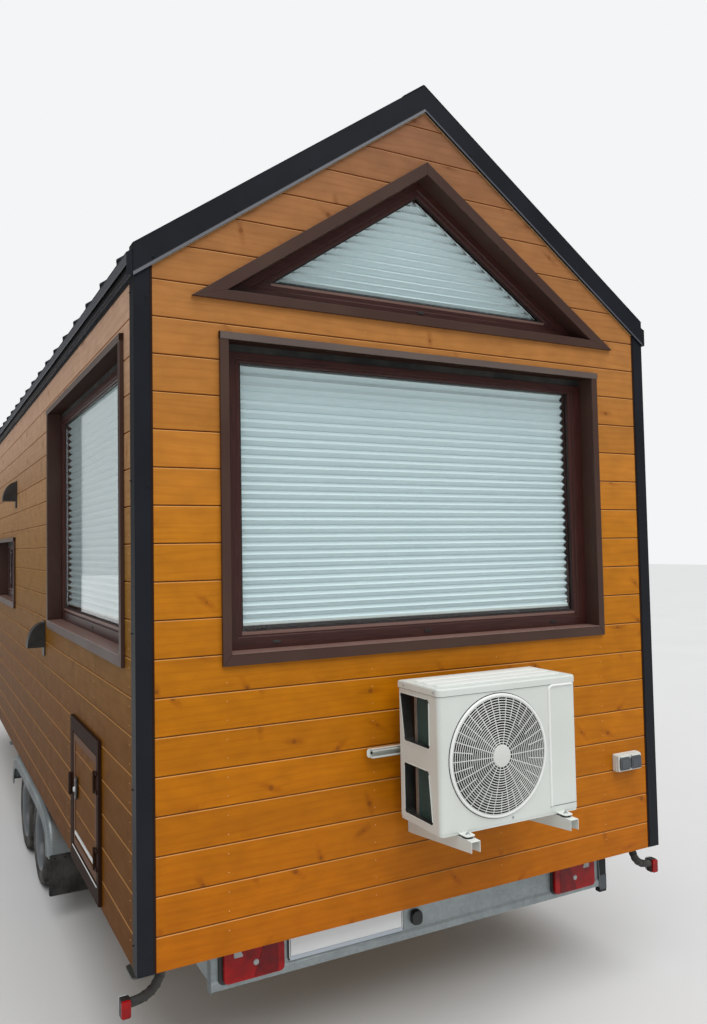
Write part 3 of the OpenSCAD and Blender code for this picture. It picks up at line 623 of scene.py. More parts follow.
def rounded(corners: Outline, radius: float, steps: int = 4) -> Points:
    """Rounds the corners of a closed outline.

    Args:
        corners: The outline's corners.
        radius: How far from each corner its curve starts.
        steps: Number of lines in each curve.

    Returns:
        The outline with its corners rounded.
    """
    points = [Vector(p) for p in corners]
    made = []
    for i, corner in enumerate(points):
        before = corner + (points[i - 1] - corner).normalized() * radius
        after = corner + (points[(i + 1) % len(points)] - corner).normalized() * radius
        for step in range(steps + 1):
            t = step / steps
            made.append(tuple(before * (1 - t) ** 2 + corner * 2 * t * (1 - t) + after * t * t))
    return made


def oblong(low: tuple[float, float], high: tuple[float, float]) -> Points:
    """The four corners of an upright rectangle."""
    return [low, (high[0], low[1]), high, (low[0], high[1])]


def circle(centre: tuple[float, float], radius: float, sides: int = 48) -> Points:
    """The corners of a many-sided circle."""
    turns = [math.tau * i / sides for i in range(sides)]
    return [(centre[0] + radius * math.cos(t), centre[1] + radius * math.sin(t)) for t in turns]


LOW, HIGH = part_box("wall_rear")
REAR_Y, BASE_Z, HALF_W = LOW.y, LOW.z, HIGH.x
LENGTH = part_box("wall_front")[1].y - REAR_Y
EAVE = 2.402
SLOPE = math.radians(35)
TAN_P, COS_P, SIN_P = math.tan(SLOPE), math.cos(SLOPE), math.sin(SLOPE)
APEX = EAVE + HALF_W * TAN_P
BOARD_PITCH = 0.13445
BOARD_JOINT = 0.117
BOARD_BASE = BOARD_JOINT - BOARD_PITCH


def over_roof(mirror: int, run: float, rise: float, along: float) -> Vector:
    """A point over a slope of the roof.

    Args:
        mirror: 1 for the right slope, -1 for the left one.
        run: Distance from the ridge, measured level.
        rise: Height square to the slope, over the roof's underside.
        along: Distance from the gable's face.

    Returns:
        The point in the wall's own measures.
    """
    return Vector((mirror * run, along, APEX - run * TAN_P + rise / COS_P))


def sided(mirror: int, *places: float) -> list[float]:
    """Places across the house on its right (1) or left (-1) side, the lower one first."""
    return sorted(mirror * place for place in places)


class Side(Enum):
    """A wall that a piece is laid out on: along it, into it, and up from the wall bottom."""

    REAR = "rear"
    FRONT = "front"
    LEFT = "left"
    RIGHT = "right"

    @property
    def matrix(self) -> Matrix:
        """The matrix from the wall's own measures to the frame."""
        rows = {
            "rear": ((1, 0, 0, 0), (0, 1, 0, REAR_Y)),
            "front": ((1, 0, 0, 0), (0, -1, 0, REAR_Y + LENGTH)),
            "left": ((0, 1, 0, -HALF_W), (1, 0, 0, REAR_Y)),
            "right": ((0, -1, 0, HALF_W), (1, 0, 0, REAR_Y)),
        }[self.value]
        return Matrix((*rows, (0, 0, 1, BASE_Z), (0, 0, 0, 1)))


def changed(mesh: Mesh, kind: str, sizes: dict[str, Any] | None = None, **settings: Any) -> Mesh:
    """Applies one modifier to a mesh.

    Args:
        mesh: The mesh to change.
        kind: The modifier's type.
        sizes: Values of the inputs of its Geometry Nodes tree.
        **settings: Attributes to set on the modifier.

    Returns:
        A new mesh with the modifier applied.
    """
    holder = bpy.data.objects.new("holder", mesh)
    bpy.context.scene.collection.objects.link(holder)
    modifier = holder.modifiers.new("change", kind)
    for name, value in settings.items():
        setattr(modifier, name, value)
    for name, value in (sizes or {}).items():
        modifier[name] = value
    graph = bpy.context.evaluated_depsgraph_get()
    made = bpy.data.meshes.new_from_object(holder.evaluated_get(graph), depsgraph=graph)
    bpy.data.objects.remove(holder)
    return made


class Pattern:
    """A Geometry Nodes tree with named sizes, turned into a plain mesh."""

    def __init__(self, title: str) -> None:
        """Starts an empty tree."""
        self.tree = bpy.data.node_groups.new(title, "GeometryNodeTree")
        self.tree.is_modifier = True
        for way in ("OUTPUT", "INPUT"):
            self.tree.interface.new_socket("Geometry", in_out=way, socket_type="NodeSocketGeometry")
        self.entry = self.tree.nodes.new("NodeGroupInput")
        self.values: dict[str, Any] = {}

    def size(self, name: str, value: Any, kind: str = "Float") -> Socket:
        """Adds a named input.

        Args:
            name: The input's name.
            value: Its value.
            kind: Float, Int or Vector.

        Returns:
            The socket that gives the value inside the tree.
        """
        item = self.tree.interface.new_socket(name, in_out="INPUT", socket_type=f"NodeSocket{kind}")
        self.values[item.identifier] = value
        return self.entry.outputs[name]

    def node(
        self, kind: str, settings: dict[str, Any] | None = None, inputs: dict | None = None
    ) -> Any:
        """Adds one node and hands out its first output."""
        return add_node(self.tree, kind, settings, inputs).outputs[0]

    def calc(self, operation: str, *numbers: Any) -> Socket:
        """One sum on one to three numbers."""
        return self.node("ShaderNodeMath", {"operation": operation}, dict(enumerate(numbers)))

    def joined(self, *parts: Socket) -> Socket:
        """Joins geometries into one."""
        join = add_node(self.tree, "GeometryNodeJoinGeometry")
        for part in parts:
            self.tree.links.new(part, join.inputs[0])
        return join.outputs[0]

    def mesh(self, shape: Socket, finish: Finish, source: Any = None) -> Mesh:
        """Ends the tree and runs it once.

        Args:
            shape: The socket with the geometry.
            finish: The finish of all of it.
            source: The mesh, or the points, that go in.

        Returns:
            The plain mesh.
        """
        real = self.node("GeometryNodeRealizeInstances", inputs={0: shape})
        painted = self.node(
            "GeometryNodeSetMaterial", inputs={"Geometry": real, "Material": finish.material()}
        )
        add_node(self.tree, "NodeGroupOutput", inputs={0: painted})
        if not isinstance(source, Mesh):
            points, source = source or [], bpy.data.meshes.new("points")
            source.from_pydata([tuple(p) for p in points], [], [])
        return changed(source, "NODES", self.values, node_group=self.tree)


class Shape:
    """A piece under construction: closed parts with a finish each, laid out on one wall."""

    def __init__(
        self, name: str, side: Side = Side.REAR, finishes: list[Finish] | None = None
    ) -> None:
        """Starts an empty piece."""
        self.name, self.side = name, side
        self.whole = bmesh.new()
        self.finishes: list[Finish] = [] if finishes is None else finishes

    def index(self, finish: Finish) -> int:
        """The finish's place in the piece's list, where it is added once."""
        if finish not in self.finishes:
            self.finishes.append(finish)
        return self.finishes.index(finish)

    def plain(self) -> Mesh:
        """Turns the piece into a plain mesh, which uses the shape up."""
        mesh = bpy.data.meshes.new(self.name)
        self.whole.to_mesh(mesh)
        self.whole.free()
        return mesh

    def fasten(
        self,
        kind: "Fasteners",
        points: Iterable[Sequence[float]],
        facing: Sequence[float] = (0.0, -1.0, 0.0),
    ) -> "Shape":
        """Sets fasteners on the piece.

        Args:
            kind: Their kind.
            points: Where they sit, in the wall's own measures.
            facing: The direction that they face, which is out of the wall unless given.

        Returns:
            The shape itself.
        """
        place = self.side.matrix
        spots = [place @ Vector(point) for point in points]
        return self.add(kind.mesh(spots, place.to_3x3() @ Vector(facing)), kind.finish)

    def add(self, mesh: Mesh, finish: Finish, place: Matrix | None = None) -> "Shape":
        """Adds a plain mesh, given in the frame unless a matrix places it."""
        if place is not None:
            mesh.transform(place)
            if place.determinant() < 0:
                mesh.flip_normals()
        start = len(self.whole.faces)
        self.whole.from_mesh(mesh)
        self.whole.faces.ensure_lookup_table()
        number = self.index(finish)
        for face in self.whole.faces[start:]:
            face.material_index = number
            face.smooth = True
        bpy.data.meshes.remove(mesh)
        return self

    def take(
        self, part: bmesh.types.BMesh, finish: Finish, bevel: float = 0.0, segments: int = 2
    ) -> "Shape":
        """Adds one closed part given in the wall's own measures.

        Args:
            part: The part, which is used up.
            finish: Its finish.
            bevel: Width of the rounding along its edges.
            segments: Number of faces across the rounding.

        Returns:
            The shape itself.
        """
        bmesh.ops.remove_doubles(part, verts=part.verts, dist=1e-6)
        bmesh.ops.dissolve_degenerate(part, edges=part.edges, dist=1e-6)
        part.transform(self.side.matrix)
        bmesh.ops.recalc_face_normals(part, faces=part.faces)
        if bevel:
            edges = [e for e in part.edges if len(e.link_faces) == 2 and e.calc_face_angle(0) > 0.5]
            bmesh.ops.bevel(
                part, geom=edges, offset=bevel, segments=segments, profile=0.5, affect="EDGES",
                clamp_overlap=True,
            )
        mesh = bpy.data.meshes.new("part")
        part.to_mesh(mesh)
        part.free()
        return self.add(mesh, finish)

    def loft(
        self,
        rings: Sequence[Sequence[Any]],
        finish: Finish,
        bevel: float = 0.0,
        closed: bool = False,
    ) -> "Shape":
        """Skins a row of rings of equal length, with a cap at each end unless the row is closed."""
        part = bmesh.new()
        rows = [[part.verts.new(p) for p in ring] for ring in rings]
        pairs = list(zip(rows, rows[1:])) + ([(rows[-1], rows[0])] if closed else [])
        for first, second in pairs:
            for i in range(len(first)):
                j = (i + 1) % len(first)
                part.faces.new((first[i], first[j], second[j], second[i]))
        if not closed:
            part.faces.new(rows[0])
            part.faces.new(rows[-1])
        return self.take(part, finish, bevel)

    def prism(
        self,
        outline: Outline,
        axis: Axis,
        low: float,
        high: float,
        finish: Finish,
        bevel: float = 0.0,
        holes: Sequence[Outline] = (),
    ) -> "Shape":
        """Gives an outline, with or without holes, a depth along an axis.

        Args:
            outline: Corners, as measures on the two other axes.
            axis: The axis of its depth.
            low: Where it starts.
            high: Where it ends.
            finish: Its finish.
            bevel: Width of the rounding along its edges.
            holes: Outlines cut through it.

        Returns:
            The shape itself.
        """
        if not holes:
            rings = [[axis.point(p, z) for p in outline] for z in (low, high)]
            return self.loft(rings, finish, bevel)
        part = bmesh.new()
        loops = [list(outline), *(list(h) for h in holes)]
        flat = [p for loop in loops for p in loop]
        rows = [[part.verts.new(axis.point(p, z)) for p in flat] for z in (low, high)]
        for triangle in tessellate_polygon([[Vector((*p, 0.0)) for p in loop] for loop in loops]):
            for row in rows:
                part.faces.new([row[i] for i in triangle])
        start = 0
        for loop in loops:
            for i in range(len(loop)):
                a, b = start + i, start + (i + 1) % len(loop)
                part.faces.new((rows[0][a], rows[0][b], rows[1][b], rows[1][a]))
            start += len(loop)
        return self.take(part, finish, bevel)

    def box(
        self, low: Sequence[float], high: Sequence[float], finish: Finish, bevel: float = 0.0
    ) -> "Shape":
        """Adds a block between two corners."""
        return self.prism(
            oblong(tuple(low[:2]), tuple(high[:2])), Axis.Z, low[2], high[2], finish, bevel
        )

    def lathe(
        self, profile: Outline, centre: Sequence[float], axis: Axis, finish: Finish, sides: int = 48
    ) -> "Shape":
        """Turns a closed outline of radius and place along an axis about a point."""
        spot = Vector(centre)
        rings = []
        for i in range(sides):
            turn = math.tau * i / sides
            rings.append(
                [
                    spot + axis.point((r * math.cos(turn), r * math.sin(turn)), along)
                    for r, along in profile
                ],
            )
        return self.loft(rings, finish, closed=True)

    def rod(
        self,
        points: Sequence[Sequence[float]],
        radius: float,
        finish: Finish,
        sides: int = 12,
        closed: bool = False,
    ) -> "Shape":
        """Runs a round bar along a line of points."""
        path = [Vector(p) for p in points]
        count = len(path)
        up = Vector((0.0, 0.0, 0.0))
        rings = []
        for i, point in enumerate(path):
            before = path[i - 1] if i or closed else point
            after = path[(i + 1) % count] if i < count - 1 or closed else point
            ahead = (after - before).normalized()
            if not up.length:
                up = ahead.orthogonal()
            up = (up - ahead * up.dot(ahead)).normalized()
            aside = ahead.cross(up)
            turns = [math.tau * k / sides for k in range(sides)]
            rings.append([point + (up * math.cos(t) + aside * math.sin(t)) * radius for t in turns])
        return self.loft(rings, finish, closed=closed)

    def border(
        self,
        corners: Outline,
        profile: Outline,
        finishes: Sequence[Finish],
        bevel: float = 0.0,
        scales: Sequence[float] | None = None,
    ) -> "Shape":
        """Lays mitred bars round an opening.

        Args:
            corners: The opening's outer corners along the wall and up, counter-clockwise.
            profile: A bar's section, as distances in from the outer edge and into the wall.
            finishes: One finish for each bar.
            bevel: Width of the rounding along the edges.
            scales: How much wider or narrower each bar is than its profile.

        Returns:
            The shape itself.
        """
        points = [Vector(p) for p in corners]
        count = len(points)
        widths = scales or [1.0] * count
        inward = []
        for i, point in enumerate(points):
            step = (points[(i + 1) % count] - point).normalized()
            inward.append(Vector((-step.y, step.x)))

        def ring(i: int) -> list[Vector]:
            """The section in the mitre at one corner."""
            one, two = inward[i - 1], inward[i]
            cross = one.x * two.y - one.y * two.x
            made = []
            for inset, depth in profile:
                a, b = inset * widths[i - 1], inset * widths[i]
                u = points[i].x + (a * two.y - b * one.y) / cross
                z = points[i].y + (one.x * b - two.x * a) / cross
                made.append(Vector((u, depth, z)))
            return made

        for i in range(count):
            self.loft([ring(i), ring((i + 1) % count)], finishes[i % len(finishes)], bevel)
        return self

    def cut(self, tool: "Shape", operation: str = "DIFFERENCE") -> "Shape":
        """Cuts this shape with another one, which is used up."""
        meshes = [shape.plain() for shape in (self, tool)]
        holder = bpy.data.objects.new("tool", meshes[1])
        bpy.context.scene.collection.objects.link(holder)
        made = changed(meshes[0], "BOOLEAN", object=holder, operation=operation, solver="EXACT")
        bpy.data.objects.remove(holder)
        self.whole = bmesh.new()
        self.whole.from_mesh(made)
        for mesh in (*meshes, made):
            bpy.data.meshes.remove(mesh)
        return self

    def done(
        self, slot: str, body: str = HOUSE, replaces: Iterable[str] = (), angle: float = 32
    ) -> bpy.types.Object:
        """Makes the object, puts it on its body and hides the CAD nodes that it stands for.

        Args:
            slot: The record's material slot; not used.
            body: The CAD body that carries the piece.
            replaces: CAD nodes that the piece stands for.
            angle: Angle in degrees past which an edge is drawn sharp.

        Returns:
            The finished object.
        """
        mesh = self.plain()
        mesh.set_sharp_from_angle(angle=math.radians(angle))
        made = changed(mesh, "WEIGHTED_NORMAL", keep_sharp=True, weight=80)
        made.name = self.name
        for finish in self.finishes:
            made.materials.append(finish.material())
        piece = bpy.data.objects.new(self.name, made)
        bpy.context.scene.collection.objects.link(piece)
        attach(piece, body)
        names = list(replaces)
        if names:
            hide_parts(*names)
        log.info("%s: %d faces on %s", self.name, len(made.polygons), body)
        return piece


@dataclass(frozen=True)
class Fasteners:
    """Screw or nail heads of one kind, set at given points."""

    radius: float
    height: float
    finish: Finish
    drive: bool = False

    def mesh(self, points: Iterable[Vector], outward: Sequence[float]) -> Mesh:
        """Sets a head on each point.

        Args:
            points: Where the heads sit, in the frame.
            outward: The direction that the heads face.

        Returns:
            One mesh with all the heads.
        """
        work = Pattern("fastener heads")
        radius = work.size("Head radius", self.radius)
        height = work.size("Head height", self.height)
        facing = work.size("Facing", tuple(outward), "Vector")
        # A domed head, and for a driven one the hexagon that stands on it.
        cones = [(12, 0.72, 1.0, 1.0)]
        if self.drive:
            cones.append((6, 0.55, 0.55, 2.6))
        parts = []
        for sides, top, bottom, depth in cones:
            inputs = {
                "Vertices": sides, "Radius Top": work.calc("MULTIPLY", radius, top),
                "Radius Bottom": work.calc("MULTIPLY", radius, bottom),
                "Depth": work.calc("MULTIPLY", height, depth),
            }
            parts.append(work.node("GeometryNodeMeshCone", inputs=inputs))
        both = work.joined(*parts)
        turn = work.node("FunctionNodeAlignRotationToVector", inputs={"Vector": facing})
        set_out = work.node(
            "GeometryNodeInstanceOnPoints",
            inputs={"Points": work.entry.outputs[0], "Instance": both, "Rotation": turn},
        )
        return work.mesh(set_out, self.finish, points)


def in_row(item: Mesh, finish: Finish, step: Sequence[float], count: int) -> Mesh:
    """Repeats a mesh along a line by Geometry Nodes.

    Args:
        item: The mesh to repeat.
        finish: The finish of all of it.
        step: From one to the next, in metres.
        count: How many.

    Returns:
        One mesh with them all.
    """
    work = Pattern("repeats in a row")
    line = work.node(
        "GeometryNodeMeshLine",
        inputs={
            "Count": work.size("Number", count, "Int"),
            "Offset": work.size("Step", tuple(step), "Vector"),
        },
    )
    return work.mesh(
        work.node(
            "GeometryNodeInstanceOnPoints",
            inputs={"Points": line, "Instance": work.entry.outputs[0]},
        ),
        finish,
        item,
    )


def in_circle(item: Mesh, finish: Finish, centre: Sequence[float], axis: Axis, count: int) -> Mesh:
    """Repeats a mesh round an axis by Geometry Nodes.

    Args:
        item: The mesh to repeat, drawn about the origin.
        finish: The finish of all of it.
        centre: Where the circle's middle goes.
        axis: The axis that it turns about.
        count: How many.

    Returns:
        One mesh with them all.
    """
    work = Pattern("repeats in a circle")
    number = work.size("Number", count, "Int")
    spot = work.size("Centre", tuple(centre), "Vector")
    line = work.node("GeometryNodeMeshLine", inputs={"Count": number, "Offset": (0.0, 0.0, 0.0)})
    share = work.calc("DIVIDE", work.node("GeometryNodeInputIndex"), number)
    turn = work.calc("MULTIPLY", share, math.tau)
    angles = work.node("ShaderNodeCombineXYZ", inputs={axis.value: turn})
    placed = work.node(
        "GeometryNodeInstanceOnPoints",
        inputs={"Points": line, "Instance": work.entry.outputs[0], "Rotation": angles},
    )
    moved = work.node("GeometryNodeTransform", inputs={"Geometry": placed, "Translation": spot})
    return work.mesh(moved, finish, item)


# The ramps give the amber stain, darkened towards each wall's foot and paled towards the eaves:
# painted light and shade. The side walls' ramp is darker low and paler high than the ends': painted
# shade on the side walls and a painted sky sheen near their eaves.
END_STAIN_AND_LIGHT_RAMP = (
    (0.0, "#AE6200"), (0.9, "#BA7200"), (1.5, "#C07A18"), (2.3, "#B67C40"), (3.2, "#94684A")
)
SIDE_STAIN_AND_SHADE_RAMP = (
    (0.0, "#603800"), (0.7, "#704604"), (1.3, "#8E672C"), (1.9, "#AA8662"), (2.45, "#D2B098")
)
WOOD_X = StainedBoards(
    "amber stained spruce cladding across the house", Axis.X, END_STAIN_AND_LIGHT_RAMP, 0.16,
    base_z=BASE_Z + BOARD_BASE,
)
WOOD_Y = StainedBoards(
    "amber stained spruce cladding along the house", Axis.Y, SIDE_STAIN_AND_SHADE_RAMP, 0.03,
    base_z=BASE_Z + BOARD_BASE,
)
# The backing shows only in the joints between boards; its tint of 0.42 darkens it there as painted
# shade.
BACKING = StainedBoards(
    "amber stained spruce backing", Axis.X, END_STAIN_AND_LIGHT_RAMP, 0.1, base_z=BASE_Z + BOARD_BASE, tint=0.42
)


@dataclass
class Window:
    """A fixed window: casing, sill, drip cap, mitred frame, beads and gasket on one wall."""

    side: Side
    left: float
    width: float
    foot: float
    height: float
    casing: float = 0.034
    sill: float = 0.042
    head: float = 0.012
    proud: float = 0.015
    lining: float = 0.012
    reveal: float = 0.14
    bar: float = 0.075
    low_bar: float = 0.072
    top_bar: float = 0.038
    frame_at: float = 0.06
    frame_depth: float = 0.06

    @property
    def grain(self) -> Axis:
        """The direction of the wall that the window is in."""
        return Axis.X if self.side in (Side.REAR, Side.FRONT) else Axis.Y

    @property
    def casing_section(self) -> Points:
        """The casing's section: a face strip, and a lining as deep as the wall."""
        i, h, deep = self.casing, self.lining, self.reveal
        return [(0, 0), (0, -self.proud), (i, -self.proud), (i, deep), (i - h, deep), (i - h, 0.0)]

    def inset(self, side: float, low: float, high: float) -> Points:
        """The casing's outer rectangle, drawn in at its sides, its foot and its head."""
        right, top = self.left + self.width, self.foot + self.height
        return oblong((self.left + side, self.foot + low), (right - side, top - high))

    def corners(self) -> Points:
        """The frame's outer corners, which lie as deep under the head as over the foot."""
        return self.inset(self.casing, self.sill, self.sill)

    def hole(self) -> Points:
        """The opening cut in the wall, at the back of the casing's lining."""
        share = (self.casing - self.lining) / self.casing
        return self.inset(self.casing * share, self.sill * share, self.head * share)

    def dress_casing(self, shape: Shape) -> None:
        """Folds the casing, its sill and its drip cap from coated sheet."""
        i = self.casing
        scales = [self.sill / i, 1.0, self.head / i, 1.0]
        shape.border(self.inset(0.0, 0.0, 0.0), self.casing_section, [BROWN_SHEET], 0.0016, scales)
        u0, u1 = self.left + i, self.left + self.width - i
        v, z = self.frame_at, self.foot + self.sill
        # The sill is painted lighter, a painted highlight on its top.
        sill = [
            (-0.0165, z - 0.001), (-0.0145, z - 0.001), (v, z + 0.0005), (v, z + 0.004),
            (-0.0165, z + 0.0018),
        ]
        shape.prism(sill, Axis.X, u0 + 0.0005, u1 - 0.0005, BEAD_PAINTED_HIGHLIGHT, 0.0006)
        top = self.foot + self.height
        head = top - self.head
        # The frame's head stands lower than the soffit; a near-black block fills the gap between
        # them as painted shade.
        shape.box(
            (u0 - 0.006, v + 0.004, top - self.sill), (u1 + 0.006, v + 0.05, head), PAINTED_SHADE_BLACK
        )
        # A thin dark brown sheet lines the reveal under the head, up to the frame: painted shade on
        # the soffit.
        shape.box((u0, -0.0125, head - 0.0012), (u1, v + 0.004, head - 0.0002), DARK_CASING)
        # The drip cap is a little longer than the casing, and its grey brown is a painted sky sheen
        # on the brown sheet.
        u0, u1 = self.left - 0.001, self.left + self.width + 0.001
        cap = folded(
            [
                (0.0, top + 0.0115), (-0.0178, top + 0.0095), (-0.0178, top - 0.0165),
                (-0.015, top - 0.018),
            ],
            0.0014,
        )
        shape.prism(cap, Axis.X, u0 + 0.0012, u1 - 0.0012, CAP_SHEET_PAINTED_SHEEN, 0.0004)
        end = [
            (0.0, top + 0.0115), (-0.018, top + 0.0095), (-0.018, top - 0.0165), (0.0, top - 0.0165)
        ]
        for u in (u0, u1 - 0.0012):
            shape.prism(end, Axis.X, u, u + 0.0012, DARK_CASING)

    def dress_frame(self, shape: Shape) -> None:
        """Builds the mitred frame with its beads, gasket and drainage caps."""
        foils = [FOIL_X if self.grain is Axis.X else FOIL_Y, FOIL_Z]
        b = self.bar
        scales = [self.low_bar / b, 1.0, self.top_bar / b, 1.0]
        self._bars(shape, self.corners(), foils, scales)
        v, low = self.frame_at, self.foot + self.sill
        nose = low + self.low_bar
        u0, u1 = self.left + self.casing + b, self.left + self.width - self.casing - b
        # A bead runs along the foot bar's nose, painted lighter as a painted highlight.
        shape.box(
            (u0 - 0.004, v + 0.0054, nose - 0.015), (u1 + 0.004, v + 0.009, nose - 0.0035), BEAD_PAINTED_HIGHLIGHT,
            0.0012,
        )
        for share in (0.13, 0.5, 0.87):
            u = self.left + self.width * share
            cap = rounded(oblong((u - 0.017, low + 0.022), (u + 0.017, low + 0.032)), 0.004, 3)
            shape.prism(cap, Axis.Y, v - 0.003, v + 0.001, BLACK_PLASTIC, 0.0008)

    def _bars(
        self, shape: Shape, corners: Outline, foils: list[Finish], scales: list[float]
    ) -> None:
        """Adds the frame's own bars, then the glazing bead and the gasket inside them."""
        v, b, deep = self.frame_at, self.bar, self.frame_at + self.frame_depth
        m = b - 0.02
        outer = [(0, v), (m - 0.004, v), (m, v + 0.005), (m, deep), (0, deep)]
        bead = [
            (m, v + 0.006), (m + 0.012, v + 0.0065), (m + 0.0175, v + 0.009), (b, v + 0.015),
            (b, v + 0.0175), (m, v + 0.0175),
        ]
        back = [(m, v + 0.0385), (b, v + 0.0385), (b, deep - 0.004), (b - 0.004, deep), (m, deep)]
        shape.border(corners, outer, foils, 0.0008, scales)
        shape.border(corners, bead, foils, 0.0005, scales)
        shape.border(corners, back, foils, 0.0008, scales)
        seal = [
            (b - 0.001, v + 0.014), (b + 0.004, v + 0.015), (b + 0.0045, v + 0.0178),
            (b - 0.001, v + 0.0178),
        ]
        shape.border(corners, seal, [GASKET], 0.0, scales)


@dataclass
class GableWindow(Window):
    """A three-cornered window in a gable."""

    casing: float = 0.046
    sill: float = 0.036
    bar: float = 0.054
    low_bar: float = 0.081
    slope: float = 34.0

    def outline(self, inset: float = 0.0, base: float | None = None) -> Points:
        """The casing's outer triangle, drawn in at its slopes and, by base, at its foot."""
        middle, tan = self.left + self.width / 2, math.tan(math.radians(self.slope))
        top = self.foot + self.width / 2 * tan - inset / math.cos(math.radians(self.slope))
        low = self.foot + (inset if base is None else base)
        reach = (top - low) / tan
        return [(middle - reach, low), (middle + reach, low), (middle, top)]

    def hole(self) -> Points:
        """The opening cut in the wall, at the back of the casing's lining."""
        share = (self.casing - self.lining) / self.casing
        return self.outline(self.casing * share, self.sill * share)

    def dress_casing(self, shape: Shape) -> None:
        """Folds the casing with mitred tips, and a thin sill inside its foot."""
        scales = [self.sill / self.casing, 1.0, 1.0]
        shape.border(self.outline(), self.casing_section, [BROWN_SHEET], 0.0016, scales)
        reach = -self.outline(self.casing, self.sill)[0][0] - 0.03
        v, z = self.frame_at, self.foot + self.sill
        sill = [(-0.01, z), (v, z), (v, z + 0.01), (-0.01, z + 0.003)]
        shape.prism(sill, Axis.X, -reach, reach, BROWN_SHEET, 0.0006)

    def dress_frame(self, shape: Shape) -> None:
        """Builds the three mitred bars with their beads, gasket and one drainage cap."""
        foils = [FOIL_X]
        scales = [self.low_bar / self.bar, 1.0, 1.0]
        self._bars(shape, self.outline(self.casing, self.sill), foils, scales)
        z = self.foot + self.sill + self.low_bar
        reach = -self.outline(self.casing + self.bar, self.sill + self.low_bar)[0][0] + 0.006
        # The bead along the foot bar's nose is painted lighter, a painted highlight.
        shape.box((-reach, 0.0654, z - 0.014), (reach, 0.069, z - 0.0035), BEAD_PAINTED_HIGHLIGHT, 0.0012)
        z = self.foot + self.sill + 0.036
        shape.prism(
            rounded(oblong((-0.017, z), (0.017, z + 0.011)), 0.004, 3), Axis.Y, 0.057, 0.061,
            BLACK_PLASTIC, 0.0008,
        )


